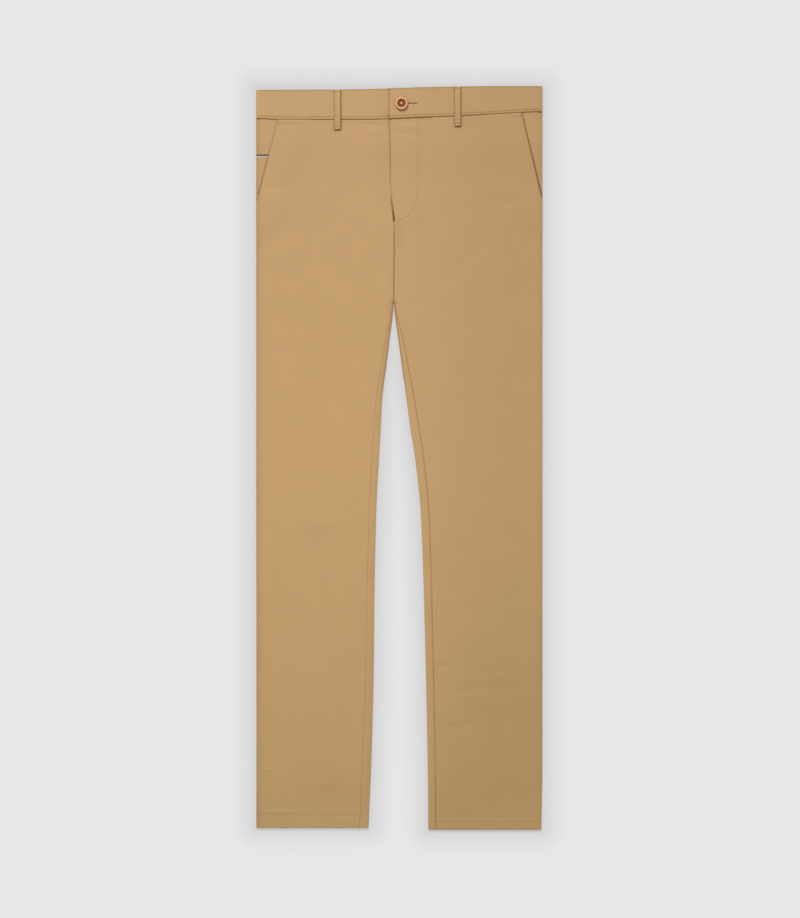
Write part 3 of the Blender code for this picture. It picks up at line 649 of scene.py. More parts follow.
def beside_slant(side, off, top_short, foot_short):
    """A line along a pocket mouth, on the front at a distance from its edge."""
    (top_x, top_y), (foot_x, foot_y) = SLANTS[side]
    length = math.hypot(top_x - foot_x, top_y - foot_y)
    down = ((foot_x - top_x) / length, (foot_y - top_y) / length)
    across = INWARDS[side] * off
    side_step = (abs(down[1]) * across, -down[0] * across)
    start = (top_x + down[0] * top_short + side_step[0], top_y + down[1] * top_short + side_step[1])
    end = (foot_x - down[0] * foot_short + side_step[0], foot_y - down[1] * foot_short + side_step[1])
    return [start, end]


FLY_STITCH_PLACES = (
    (27.4, 493), (27.4, 440), (27.4, 388), (24.6, 371), (18.5, 358.5), (8.5, 350), (-4.6, 345.2)
)
FLY_STITCH = smooth_path([(x * MM, y * MM) for x, y in FLY_STITCH_PLACES])
POCKET_STITCHES = {
    side: beside_slant(side, POCKET_STITCH_OFF, *POCKET_STITCH_SHORT) for side in INWARDS
}
POCKET_TACKS = {
    "right": [(-174.8 * MM, 487.9 * MM), (-141 * MM, 487.2 * MM)],
    "left": [(171.0 * MM, 497.6 * MM), (178.2 * MM, 497.9 * MM)],
}
FRONT_STITCHES = {
    "right": [POCKET_STITCHES["right"], POCKET_TACKS["right"]],
    "left": [POCKET_STITCHES["left"], POCKET_TACKS["left"], FLY_STITCH],
}


def hem_stitch(side):
    return HEM_HEIGHT[side] + HEM_DEPTH


# ---------------------------------------------------------------- surfaces of the finish
def creases(x, y):
    height = 0
    for crease in CREASES:
        start, end, width = (np.array(size) * MM for size in (crease.start, crease.end, crease.width))
        middle, reach = (start + end) / 2, math.dist(start, end) / 2 + width
        far, near = (reach * share for share in CREASE_FADES)
        fade = smoothstep(far, near, np.hypot(x - middle[0], y - middle[1]))
        height = height + crease.height * MM * bell(distance_to(x, y, start, end), width) * fade
    return height * CREASE_SHARE


def painted_patch_shade(x, y):
    """How much painted shade the patches put on points; the cloth's height stays."""
    shade = 0
    for hollow in PAINTED_SHADE_PATCHES:
        across_off = (x / MM - hollow.across) / hollow.reach[0]
        up_off = (y / MM - hollow.height) / hollow.reach[1]
        shade = shade + hollow.share * bell(np.hypot(across_off, up_off), 1)
    return shade


def wandering(x, y, size, seed):
    """A slow uneven wave over the cloth, from -1 to 1."""
    wave = 0
    for ripple in RIPPLES:
        turn = math.sin(seed * ripple.turn) * RIPPLE_TURNS
        wave = wave + np.sin(x / size * ripple.across + y / size * ripple.along + turn)
    return wave / len(RIPPLES)


def swayed(x, y, wave):
    """A wave's rise and fall, in metres."""
    return wave.height * wandering(x, y, wave.size, wave.seed)


def pulled(off, along, pucker):
    """A pucker's waves, at a distance from its row of stitches and at places along it."""
    uneven = wandering(along, off, PUCKER_WANDER, pucker.seed) * PUCKER_UNEVENNESS
    turns = along / pucker.length * 2 * math.pi
    return pucker.height * bell(off, pucker.reach) * np.sin(turns + uneven)


class Seams:
    """How far points of one side's cloth are from its seams and edges."""

    def __init__(self, side, x, y):
        leg = y < CROTCH[1]
        inner = EDGES[side, "inner"](y)
        inseam = inner - INWARDS[side] * (EDGES[side, "wrap"](y) + GAP / 2)
        from_crotch = np.hypot(x - CROTCH[0], y - CROTCH[1])
        below = np.minimum(0, y - CROTCH[1])
        self.waist = np.abs(waist_seam(x) - y)
        self.inseam = np.where(leg, np.abs(x - inseam), from_crotch)
        self.centre = np.where(y < FLY_CLOSED_FROM, np.hypot(x - fly_edge(y), below), FAR)
        self.fold = np.where(leg, np.abs(x - inner), FAR)
        self.side = np.abs(x - EDGES[side, "outer"](y))
        self.fly = np.where(leg, FAR, np.abs(x - fly_edge(y)))
        self.hem = y - hem_stitch(side)


def edge_drop(off):
    """How far cloth curls towards the other layer at a folded side edge."""
    near = 1 - np.clip(off / SIDE_ROLL, 0, 1)
    return SIDE_ROLL_DROP * (1 - np.sqrt(1 - near**2))


def fly_shade(x, y):
    """The painted shade along the fly's edge: darkest and widest at its foot, where the edge stands open."""
    open_foot = smoothstep(FLY_DARK_TOP, FLY_DARK_FOOT, y)
    top = smoothstep(FLY_DARK_TOP, FLY_SHADE_FULL, y)
    share = FLY_SHADE + FLY_FOOT_SHADE * open_foot + FLY_TOP_SHADE * top
    width = FLY_SHADE_WIDTH + (FLY_FOOT_SHADE_WIDTH - FLY_SHADE_WIDTH) * open_foot
    return share * bell(x - fly_edge(y), width) * (y > FLY_DARK_FOOT)


def front_finish(side, x, y):
    """What the finish adds to the height of the front of a leg, and how much painted shade darkens its
    colour.
    """
    seams = Seams(side, x, y)
    dip = INSEAM_DIP[side] * bell(seams.inseam, SEAM_DIP_WIDTH)
    dip = dip + SEAM_DIP * bell(seams.centre, SEAM_DIP_WIDTH)
    dip = dip + WAIST_DIP * bell(seams.waist, SEAM_DIP_WIDTH)
    shade = INSEAM_SHADE[side] * bell(seams.inseam, SEAM_SHADE_WIDTH)
    shade = shade + CENTRE_SHADE * bell(seams.centre, SEAM_SHADE_WIDTH)
    shade = shade + WAIST_SHADE * bell(seams.waist, WAIST_SHADE_WIDTH) + fly_shade(x, y) + painted_patch_shade(x, y)
    shade = shade + SIDE_SHADE[side] * bell(seams.side, SIDE_SHADE_WIDTH)
    for path in FRONT_STITCHES[side]:
        off = distance_to_path(x, y, path)
        dip = dip + STITCH_DIP * bell(off, STITCH_DIP_WIDTH)
        shade = shade + STITCH_SHADE * bell(off, STITCH_SHADE_WIDTH)
    dip = dip + STITCH_DIP * bell(seams.hem, STITCH_DIP_WIDTH)
    shade = shade + HEM_SHADE * bell(seams.hem, HEM_STEP)
    lip = SEAM_LIP * bell(seams.waist - SEAM_LIP_OFF, SEAM_LIP_WIDTH)
    pucker = pulled(seams.hem, x, HEM_PUCKER) + pulled(seams.waist, x, WAIST_PUCKER)
    pucker = pucker + pulled(seams.inseam, y, INSEAM_PUCKER)
    wave = swayed(x, y, SMALL_WAVE) + swayed(x, y, BROAD_WAVE)
    free = np.minimum(np.minimum(seams.side, seams.fold), seams.fly)
    raised = (creases(x, y) + wave + pucker + lip) * smoothstep(0, FREE_EDGE, free)
    return np.maximum(raised - dip, -DEEPEST), np.clip(shade, 0, 1)


def front_top(side, x, y):
    return front_underside(side, x, y) + cloth_at(side, y) + front_finish(side, x, y)[0]


def band_finish(x, y):
    """The groove of the edge stitching above the waist seam, the pull of its stitches, and the painted shade
    in its colour.
    """
    up = y - waist_seam(x)
    off = up - BAND_STITCH_OFF
    sag = swayed(x, y, BAND_WAVE) * smoothstep(0, BAND_SAG_RUN, up)
    lip = SEAM_LIP * bell(up - BAND_STITCH_OFF / 2, SEAM_LIP_WIDTH)
    raised = pulled(off, x, BAND_PUCKER) + sag + lip - STITCH_DIP * bell(off, STITCH_DIP_WIDTH)
    from_button = np.hypot(x - BUTTON_AT[0], y - BUTTON_AT[1]) - BUTTON_RADIUS
    from_slit = distance_to(x, y, BUTTON_AT, (BUTTONHOLE_END, BUTTON_AT[1]))
    shade = WAIST_SHADE * bell(up, WAIST_SHADE_WIDTH) + BAND_STITCH_SHADE * bell(off, STITCH_SHADE_WIDTH)
    shade = shade + BAND_TOP_SHADE * bell(waist_top(x) - y, BAND_TOP_SHADE_WIDTH)
    shade = shade + fly_shade(x, y) + painted_patch_shade(x, y)
    shade = shade + BUTTON_SHADE * bell(from_button, SEAM_SHADE_WIDTH)
    shade = shade + BUTTONHOLE_SHADE * bell(from_slit, BUTTONHOLE_SHADE_WIDTH)
    return raised, np.clip(shade, 0, 1)


def band_top(side, x, y):
    return band_underside(side, x) + BAND_CLOTH + band_finish(x, y)[0]


# ---------------------------------------------------------------- meshes
def across(start, end, near_start, count, near_end):
    """Rows of places from start to end, close together near both ends."""
    start, end = np.atleast_1d(start), np.atleast_1d(end)
    way = np.sign(end - start)[:, None]
    first = start[:, None] + way * np.array([0, *near_start])[None, :] * MM
    last = end[:, None] - way * np.array([*reversed(near_end), 0])[None, :] * MM
    shares = np.arange(1, count + 1) / (count + 1)
    middle = first[:, -1:] + (last[:, :1] - first[:, -1:]) * shares[None, :]
    return np.hstack([first, middle, last])


def graded(top, foot, close=(), coarse=COARSE, fine=FINE):
    """Heights from top to foot. close gives (lowest, highest, step): how close the rows are there."""
    low, high, step = np.array([(top, top, fine), (foot, foot, fine), *close]).T
    heights = [top]
    while heights[-1] > foot + fine:
        off = np.maximum(0, np.maximum(low - heights[-1], heights[-1] - high))
        heights.append(heights[-1] - min(coarse, np.min(step + off * GROWTH)))
    return np.array([*(h for h in heights if h > foot + fine / 2), foot])


def close_at(*heights):
    return [(height, height, FINE) for height in heights]


def rounded(off, radius):
    """1 away from an edge, falling to 0 at it along a quarter circle."""
    near = np.clip(off / radius, 0, 1)
    return np.sqrt(1 - (1 - near) ** 2)


def enclosed(points, faces):
    """The volume inside quads that face outwards, or less than 0 where they face inwards."""
    total = 0
    for corners in ((0, 1, 2), (0, 2, 3)):
        a, b, c = (points[faces[:, corner]] for corner in corners)
        total += np.einsum("ij,ij->i", a, np.cross(b, c)).sum()
    return total / 6


def in_the_scene(name, data):
    """A new object of some data."""
    made = bpy.data.objects.new(name, data)
    bpy.context.scene.collection.objects.link(made)
    return made


def mesh_object(name, points, faces, material, flow, shade):
    """An object of quads. flow is each point's place on the flat cut, shade the share of painted shade in its
    colour.
    """
    if enclosed(points, faces) < 0:
        faces = faces[:, ::-1]
    mesh = bpy.data.meshes.new(name)
    mesh.from_pydata(points.tolist(), [], faces.tolist())
    mesh.uv_layers.new(name=FLOW).data.foreach_set("uv", flow[faces.ravel()].ravel())
    mesh.attributes.new(SHADE, "FLOAT", "POINT").data.foreach_set("value", shade)
    mesh.materials.append(material)
    mesh.shade_smooth()
    return in_the_scene(name, mesh)


def shell(name, outside, inside, flow, material, shade=0.0):
    """A closed thin wall between two grids of points, which meet all round in a rim."""
    rows, columns = outside.shape[:2]
    rim = np.zeros((rows, columns), bool)
    rim[[0, -1], :] = True
    rim[:, [0, -1]] = True
    outer = np.arange(rows * columns).reshape(rows, columns)
    inner = outer.copy()
    inner[~rim] = rows * columns + np.arange((~rim).sum())
    outside = np.where(rim[..., None], (outside + inside) / 2, outside)
    shade = np.broadcast_to(shade, rim.shape)
    points = np.vstack([outside.reshape(-1, 3), inside[~rim]])
    shades = np.concatenate([shade.ravel(), shade[~rim]])
    flows = np.vstack([flow.reshape(-1, 2), flow[~rim]])
    faces = np.vstack([quads(outer), quads(inner)[:, ::-1]])
    return mesh_object(name, points, faces, material, flows, shades)


def quads(index):
    return np.stack([index[:-1, :-1], index[:-1, 1:], index[1:, 1:], index[1:, :-1]], -1).reshape(-1, 4)


def flow_of(outside, inside, start):
    """Each point's place on the flat cut: how far across the cloth it is, and how far up."""
    middle = (outside + inside) / 2
    steps = np.linalg.norm(np.diff(middle, axis=1)[..., [0, 2]], axis=-1)
    run = np.hstack([np.zeros((len(steps), 1)), np.cumsum(steps, axis=1)])
    return np.stack([np.broadcast_to(start, run.shape[:1])[:, None] + run, middle[..., 1]], -1)


def area_of(grid):
    """The area of a grid of points, in square metres."""
    corners = grid[:-1, :-1], grid[:-1, 1:], grid[1:, 1:], grid[1:, :-1]
    diagonals = corners[2] - corners[0], corners[3] - corners[1]
    return float(np.linalg.norm(np.cross(*diagonals), axis=-1).sum() / 2)


def cut_size(grid):
    """The width and length of the rectangle that the flat piece is cut from."""
    width = np.linalg.norm(np.diff(grid, axis=1), axis=-1).sum(axis=1).max()
    length = np.linalg.norm(np.diff(grid, axis=0), axis=-1).sum(axis=0).max()
    return float(width), float(length)


def declared(piece, slot, *nodes):
    """Attaches a piece to the root body and hides the nodes that it stands for. slot is not used."""
    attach(piece, "root")
    if nodes:
        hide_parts(*nodes)


def lay(piece, outside, slot, nodes):
    """Attaches a cloth piece to the root body and hides the nodes it stands for; its flat cut's size is
    worked out but not used, and slot is not used.
    """
    declared(piece, slot, *nodes)
    width, length = cut_size(outside)
    area = min(area_of(outside), width * length)


def cloth_piece(name, grids, start, material, node, shade=0.0, slot="satin"):
    """A piece of cloth between two grids, the outside first, whose flat cut starts at these places."""
    outside, inside = grids
    piece = shell(name, outside, inside, flow_of(outside, inside, start), material, shade)
    lay(piece, outside, slot, [node])


def rim_of(x, heights, outer, inner):
    """1 on a piece, falling to 0 at its four edges."""
    off = np.minimum(np.abs(x - outer[:, None]), np.abs(x - inner[:, None]))
    ends = np.minimum(heights - heights[-1], heights[0] - heights)
    return rounded(off, EDGE_ROUND) * rounded(ends, EDGE_ROUND)[:, None]


def lying(x, y, top, bottom, rim):
    """The two grids of a piece that lies face up, its thickness taken in at its rim."""
    middle, half = (top + bottom) / 2, (top - bottom) / 2 * rim
    return np.stack([x, y, middle + half], -1), np.stack([x, y, middle - half], -1)


# ---------------------------------------------------------------- the cut pieces
def front_edges(side, heights):
    """Where a front panel begins at the pocket mouth or the side, and ends at the fly or the inseam."""
    outer = EDGES[side, "outer"](heights)
    slant = slant_edge(side, with_the_waist(SLANTS[side].top[0], heights))
    outer = np.where(heights > SLANTS[side].foot[1], slant, outer)
    on_leg = EDGES[side, "inner"](heights) - INWARDS[side] * (EDGES[side, "wrap"](heights) + SEAM_GAP)
    under = FLY_UNDERLAP * smoothstep(FLY_FULL, FLY_FULL + FLY_UNDERLAP_RUN, heights)
    on_seat = fly_edge(heights) + (GAP / 2 if side == "left" else under - GAP / 2)
    return outer, np.where(heights < CROTCH[1], on_leg, on_seat)


def level_creases(side):
    """Where the rows of a front lie close together for the narrow creases that run across it."""
    for crease in CREASES:
        (start_x, start_y), (end_x, end_y) = crease.start, crease.end
        on_side = (start_x * MM > CROTCH[0]) == (side == "left")
        if on_side and crease.width < NARROW_CREASE and abs(end_x - start_x) > abs(end_y - start_y):
            low, high = min(start_y, end_y) - crease.width, max(start_y, end_y) + crease.width
            yield low * MM, high * MM, crease.width * MM / CREASE_STEPS


def front_panel(side, material):
    foot, slant_foot = HEM_HEIGHT[side], SLANTS[side].foot[1]
    close = close_at(slant_foot, FLY_FULL, CROTCH[1], CROTCH[1] - CROTCH_ROWS, hem_stitch(side))
    close += [*level_creases(side), *([CURVED_FLY_STITCH] if side == "left" else [])]
    heights = graded(WAIST_HEIGHT, foot, close)
    outer, inner = front_edges(side, heights)
    near_fly = NEAR_EDGE + (FLY_COLUMNS if side == "left" else ())
    x = across(outer, inner, NEAR_EDGE, FRONT_COLUMNS, near_fly)
    y = with_the_waist(x, heights[:, None])
    raised, shade = front_finish(side, x, y)
    bottom = front_underside(side, x, y)
    top = bottom + cloth_at(side, y) + raised
    bottom = bottom + np.maximum(raised, 0) * UNDERSIDE_FOLLOWS
    at_side = smoothstep(*(slant_foot + end for end in MOUTH_ENDS), y)
    from_outer, from_inner = (np.abs(x - edge[:, None]) for edge in (outer, inner))
    curl = edge_drop(from_outer) * at_side
    sewn = np.where(heights < FLY_CLOSED_FROM, SEAM_ROUND[side], EDGE_ROUND)[:, None]
    ends = rounded(heights - foot, EDGE_ROUND) * rounded(WAIST_HEIGHT - heights, WAIST_ROUND)
    rim = rounded(from_outer, EDGE_ROUND) * rounded(from_inner, sewn) * ends[:, None]
    shade = np.clip(shade + mouth_shade(side, from_outer, y) * (1 - at_side), 0, 1)
    grids = lying(x, y, top - curl, bottom - curl, rim)
    cloth_piece(f"{side}_front", grids, outer, material, f"front_{side}", shade)


def fold_shade(off, y):
    """The painted shade along the inner fold of a leg, near the crotch, where the legs lie close together."""
    return FOLD_SHADE * bell(off, FOLD_SHADE_WIDTH) * smoothstep(FOLD_DARK_FROM, FOLD_DARK_FULL, y)


def round_the_inseam(side, heights, fold):
    """The back from the inner fold of the leg to the inseam on the front: middle, out and thickness."""
    inwards, thickness = INWARDS[side], cloth_at(side, heights)[:, None]
    radius = (thickness + GAP) / 2
    turn = np.radians(np.linspace(-90, 90, FOLD_STEPS + 1))[None, 1:]
    level = np.zeros_like(fold)[:, None] * turn
    bend = np.stack([fold[:, None] + inwards * np.cos(turn) * radius, heights[:, None] + level,
                     thickness + GAP / 2 + np.sin(turn) * radius], -1)
    bend_out = np.stack([inwards * np.cos(turn) + level, level, np.sin(turn) + level], -1)
    end = EDGES[side, "inner"](heights) - inwards * EDGES[side, "wrap"](heights)
    shares = np.array(WRAP_SHARES)[None, :]
    x = fold[:, None] + (end - fold)[:, None] * shares
    y = heights[:, None] + 0 * x
    raised, shade = front_finish(side, x, y)
    bottom = front_rest(side, x, y)
    top = bottom + thickness + raised
    bottom = bottom + np.maximum(raised, 0) * UNDERSIDE_FOLLOWS
    strip = np.stack([x, y, (top + bottom) / 2], -1)
    strip_out = np.stack([0 * x, 0 * x, 0 * x + 1], -1)
    rim = rounded(np.abs(x - end[:, None]), SEAM_ROUND[side])
    half = np.hstack([thickness / 2 + level, (top - bottom) / 2 * rim])
    middle, out = np.concatenate([bend, strip], 1), np.concatenate([bend_out, strip_out], 1)
    shade = np.hstack([fold_shade(level, heights[:, None]), shade + fold_shade(x - fold[:, None], y)])
    return middle + out * half[..., None], middle - out * half[..., None], np.clip(shade, 0, 1)


def up_the_seat_seam(side, heights, fold, steps):
    """The same number of points on the seat, where the back ends at the centre seam."""
    seam = CROTCH[0] - INWARDS[side] * SEAT_GAP / 2
    inset = seam - INWARDS[side] * SEAT_SEAM_INSET
    y = with_the_waist(seam, heights)[:, None]
    floor = loop_lift(heights)[:, None]
    share = np.arange(1, steps + 1)[None, :] / steps
    fold = fold[:, None]
    outside = np.stack([fold + (seam - fold) * np.minimum(1, 2 * share), y + 0 * share,
                        floor + CLOTH * np.maximum(0, 2 * share - 1)], -1)
    inside = np.stack([fold + (inset - fold) * share, y + 0 * share, floor + CLOTH + 0 * share], -1)
    return outside, inside


def back_panel(side, material):
    """Flat on the ground, and on the leg round the inner fold to the inseam on the front."""
    foot = HEM_HEIGHT[side]
    on_leg_from, on_leg_to = (CROTCH[1] + end for end in SEAT_ENDS)
    heights = graded(WAIST_HEIGHT, foot, close_at(CROTCH[1], on_leg_to, hem_stitch(side)))
    thickness = cloth_at(side, heights)
    on_leg = smoothstep(on_leg_from, on_leg_to, heights)
    inner = CROTCH[0] + (EDGES[side, "inner"](heights) - CROTCH[0]) * on_leg
    fold = inner - INWARDS[side] * (thickness + GAP / 2)
    outer = EDGES[side, "outer"](heights)
    x = across(outer, fold, NEAR_EDGE, BACK_COLUMNS, NEAR_FOLD)
    y = with_the_waist(x, heights[:, None])
    from_outer = np.abs(x - outer[:, None])
    bottom = loop_lift(y) + edge_drop(from_outer)
    ends = rounded(np.minimum(heights - foot, WAIST_HEIGHT - heights), EDGE_ROUND)[:, None]
    inside, outside = lying(x, y, bottom + thickness[:, None], bottom, rounded(from_outer, EDGE_ROUND) * ends)
    *leg, leg_shade = round_the_inseam(side, heights, fold)
    seat = up_the_seat_seam(side, heights, fold, leg_shade.shape[1])
    far = [at_seat + (at_leg - at_seat) * on_leg[:, None, None] for at_seat, at_leg in zip(seat, leg)]
    middle = (far[0] + far[1]) / 2
    far = [middle + (grid - middle) * ends[..., None] for grid in far]
    outside, inside = (np.concatenate(grids, 1) for grids in zip((outside, inside), far))
    on_leg = on_leg[:, None]
    # Up the seat seam the back is painted dark: painted shade where it shows through the gap at the fly's
    # foot.
    shade = np.hstack([0 * x, leg_shade * on_leg + SEAT_SHADE * (1 - on_leg)])
    piece = shell(f"{side}_back", outside, inside, flow_of(outside, inside, outer), material, shade)
    lay(piece, (outside + inside) / 2, "satin", [f"back_{side}"])


def mouth_shade(side, off, y):
    """The painted shadow line along a pocket mouth, at a distance from it: wider towards its foot."""
    thins = MOUTH_SHADE_THINS * smoothstep(MOUTH_DARK_TOP, SLANTS[side].top[1], y)
    return MOUTH_SHADE[side] * bell(off, MOUTH_SHADE_WIDTH * (1 - thins))


def facing_shade(side, x, y):
    """How much painted shade darkens the cloth in a pocket mouth: at the waist seam, the side seam and the
    front's edge.
    """
    shade = WAIST_SHADE * bell(waist_seam(x) - y, WAIST_SHADE_WIDTH)
    shade = shade + SIDE_SHADE[side] * bell(x - EDGES[side, "outer"](y), SIDE_SHADE_WIDTH)
    under = INWARDS[side] * (x - slant_edge(side, y))
    return np.clip(shade + mouth_shade(side, np.minimum(0, under), y), 0, 1)


def pocket_rows(side, foot, stops=()):
    return graded(WAIST_HEIGHT, foot, close_at(SLANTS[side].foot[1], *stops))


def pocket_facing(side, material):
    """The satin that shows in the pocket mouth, sewn in at the side seam and the waist seam."""
    heights, inwards = pocket_rows(side, FACING_FOOT), INWARDS[side]
    off_seam = FACING_OFF_SEAM * smoothstep(FACING_LEAVES_SEAM, FACING_FOOT, heights)
    outer = EDGES[side, "outer"](heights) + inwards * off_seam
    slant = slant_edge(side, heights)
    inner = slant + inwards * FACING_UNDER_FRONT
    mouth = np.where(np.abs(slant - outer) > LEAST_MOUTH, slant, outer + inwards * LEAST_MOUTH)
    outer_x, mouth_x, inner_x = (edge[:, None] for edge in (outer, mouth, inner))
    shows, hidden = (np.array(shares)[None, :] for shares in (FACING_SHARES, FACING_SHARES[1:]))
    x = np.hstack([outer_x + (mouth_x - outer_x) * shows, mouth_x + (inner_x - mouth_x) * hidden])
    y = with_the_waist(x, heights[:, None])
    sway = swayed(x, y, FACING_WAVE) * smoothstep(0, FACING_FREE_EDGE, np.abs(x - outer_x))
    bottom = pocket_underside(side, x, y)
    top = bottom + CLOTH + np.minimum(sway, 0)
    curl = edge_drop(np.abs(x - EDGES[side, "outer"](y)))
    grids = lying(x, y, top - curl, bottom - curl, rim_of(x, heights, outer, inner))
    cloth_piece(f"{side}_pocket_facing", grids, outer, material,
                f"pocket_facing_{side}", facing_shade(side, x, y))


def pocket_bag(side, material):
    """The bag between front and back, its two layers pressed into one."""
    heights, inwards = pocket_rows(side, BAG_FOOT, (FACING_FOOT,)), INWARDS[side]
    under_facing = EDGES[side, "outer"](heights) + inwards * BAG_OFF_SEAM
    beside_facing = slant_edge(side, heights) + inwards * (FACING_UNDER_FRONT + GAP)
    share = smoothstep(FACING_FOOT, BAG_CORNER_FROM, heights)
    corner = BAG_CORNER * smoothstep(BAG_CORNER_FROM, BAG_FOOT, heights) ** 2
    outer = beside_facing + (under_facing - beside_facing) * share + inwards * corner
    inner = -inwards * (BAG_WIDTH + corner)
    x = across(outer, inner, NEAR_FOLD, BAG_COLUMNS, NEAR_FOLD)
    y = with_the_waist(x, heights[:, None])
    bottom = pocket_underside(side, x, y)
    grids = lying(x, y, bottom + CLOTH, bottom, rim_of(x, heights, outer, inner))
    cloth_piece(f"{side}_pocket_bag", grids, outer, material,
                f"pocket_bag_{side}", slot="pocketing")


def on_the_facing(name, top, foot, material, thinned=0.0):
    """A piece that lies on the right facing, from the side seam to the pocket mouth."""
    heights = graded(top, foot, **COIN_ROWS)
    outer, inner = EDGES["right", "outer"](heights) + GAP, slant_edge("right", heights) - GAP
    x = across(outer, inner, NEAR_TRIM, COIN_COLUMNS, NEAR_TRIM)
    y = heights[:, None] + 0 * x
    bottom = pocket_underside("right", x, y) + CLOTH + GAP - edge_drop(x - outer[:, None])
    pressed = CLOTH * (1 - thinned * smoothstep(foot + COIN_POCKET_PRESSED, foot, y))
    outside, inside = lying(x, y, bottom + pressed, bottom, rim_of(x, heights, outer, inner))
    flow, shade = flow_of(outside, inside, outer), facing_shade("right", x, y)
    return shell(name, outside, inside, flow, material, shade), outside


def coin_pocket(satin, tape):
    """The small pocket on the right facing, and the tape that binds its mouth."""
    tape_foot = COIN_POCKET_MOUTH - COIN_TRIM_HEIGHT
    binding, _ = on_the_facing("right_coin_pocket_tape", COIN_POCKET_MOUTH, tape_foot, tape)
    declared(binding, "contrast_tape", "coin_pocket_trim")
    mouth, foot = tape_foot - GAP, COIN_POCKET_FOOT
    pocket, outside = on_the_facing("right_coin_pocket", mouth, foot, satin, COIN_POCKET_THINNED)
    lay(pocket, outside, "satin", ["coin_pocket"])


# ---------------------------------------------------------------- waistband
def band_path(side):
    """The band's middle line in plan and height, from the centre back round the side to the fly."""
    inwards, edge = INWARDS[side], float(EDGES[side, "outer"](WAIST_HEIGHT))
    radius = (BAND_CLOTH + GAP) / 2
    fold = edge + inwards * (radius + BAND_CLOTH / 2)
    back = across(CROTCH[0] - inwards * GAP / 2, fold, NEAR_EDGE, BAND_BACK_COLUMNS, NEAR_FOLD)[0]
    turn = np.radians(np.linspace(-90, 90, FOLD_STEPS * 2 + 1))[1:-1]
    end = fly_edge(WAIST_HEIGHT) + (BAND_UNDERLAP if side == "right" else 0)
    front = across(fold, end, NEAR_FOLD, BAND_FRONT_COLUMNS, NEAR_EDGE)[0]
    x = np.concatenate([back, fold - inwards * np.cos(turn) * radius, front])
    z = np.concatenate([0 * back + LOOP_LIFT + BAND_CLOTH / 2,
                        LOOP_LIFT + BAND_CLOTH + GAP / 2 + np.sin(turn) * radius,
                        band_underside(side, front) + BAND_CLOTH / 2])
    out_x = np.concatenate([0 * back, -inwards * np.cos(turn), 0 * front])
    out_z = np.concatenate([0 * back - 1, np.sin(turn), 0 * front + 1])
    return x, z, out_x, out_z, len(back) + len(turn), end


def waistband(side, material):
    x, z, out_x, out_z, first_front, end = band_path(side)
    reach = waist_seam(x) + WAIST_GAP / 2 - waist_top(x)
    height = np.abs(reach).mean()
    shares = 1 - graded(height, 0, [BAND_STITCH_ROWS], **BAND_ROWS) / height
    y = waist_top(x)[None, :] + shares[:, None] * reach[None, :]
    x, out_x, out_z = (value[None, :] + 0 * y for value in (x, out_x, out_z))
    raised, shade = band_finish(x, y)
    raised = raised - BAND_EDGE_DROP[side] * bell(y - waist_seam(x), BAND_EDGE_DROP_WIDTH)
    on_front = np.arange(x.shape[1])[None, :] >= first_front
    from_side = np.abs(x - x[:, first_front:first_front + 1])
    raised = np.where(on_front, raised * smoothstep(0, FREE_EDGE, from_side), 0)
    rim = rounded(shares * height, BAND_CLOTH / 2) * rounded((1 - shares) * height, WAIST_ROUND)
    free = np.where(on_front, np.abs(x - end), np.abs(x - CROTCH[0] + INWARDS[side] * GAP / 2))
    half = (BAND_CLOTH / 2) * rim[:, None] * rounded(free, EDGE_ROUND)
    middle = np.stack([x, y, z[None, :] + 0 * y], -1)
    out = np.stack([out_x, 0 * y, out_z], -1)
    outside = middle + out * (half + raised)[..., None]
    inside = middle - out * half[..., None]
    flow, shade = flow_of(outside, inside, 0.0)[..., ::-1], np.where(on_front, shade, 0)
    return shell(f"{side}_waistband", outside, inside, flow, material, shade), outside


def waistbands(material):
    for side in INWARDS:
        piece, outside = waistband(side, material)
        if side == "left":
            cut_buttonhole(piece)
        nodes = [f"waistband_front_{side}", f"waistband_back_{side}"]
        lay(piece, outside, "satin", nodes)


def cut_buttonhole(band):
    """The slit in the left band, from the shank towards the hip."""
    low = band_underside("right", BUTTON_AT[0]) + BAND_CLOTH + GAP / 2
    high = band_underside("left", BUTTON_AT[0]) + BAND_CLOTH + BUTTONHOLE_CUT_OVER
    length = BUTTONHOLE_END - BUTTON_AT[0]
    middle = (BUTTON_AT[0] + length / 2, BUTTON_AT[1], (low + high) / 2)
    bm = bmesh.new()
    bmesh.ops.create_cube(bm, size=1)
    bmesh.ops.scale(bm, verts=bm.verts, vec=(length, BUTTONHOLE_WIDTH, high - low))
    bmesh.ops.translate(bm, verts=bm.verts, vec=middle)
    cut_out(band, [plain_object("slit", bm)])


def cut_out(piece, cutters):
    """Takes some solids out of a piece, and removes them from the scene."""
    for cutter in cutters:
        boolean = piece.modifiers.new("cut", "BOOLEAN")
        boolean.operation = "DIFFERENCE"
        boolean.solver = "EXACT"
        boolean.object = cutter
    made_plain(piece)
    for cutter in cutters:
        bpy.data.objects.remove(cutter)


def plain_object(name, bm, material=None):
    """An object of a bmesh, with its faces pointing out."""
    bmesh.ops.recalc_face_normals(bm, faces=bm.faces)
    mesh = bpy.data.meshes.new(name)
    bm.to_mesh(mesh)
    bm.free()
    mesh.shade_smooth()
    if material:
        mesh.materials.append(material)
    return in_the_scene(name, mesh)


def made_plain(thing):
    """Turns a piece's modifiers into its mesh."""
    evaluated = thing.evaluated_get(bpy.context.evaluated_depsgraph_get())
    thing.data = bpy.data.meshes.new_from_object(evaluated)
    thing.modifiers.clear()


# ---------------------------------------------------------------- belt loops
def loop_place(side):
    """The middle, the head and the foot of a front belt loop, and the height of its seam."""
    centre, foot = FRONT_LOOPS[side]
    head = float(waist_top(centre)) - LOOP_TOP_INSET
    return centre, head, foot + LOOP_FOOT_UP, float(waist_seam(centre))


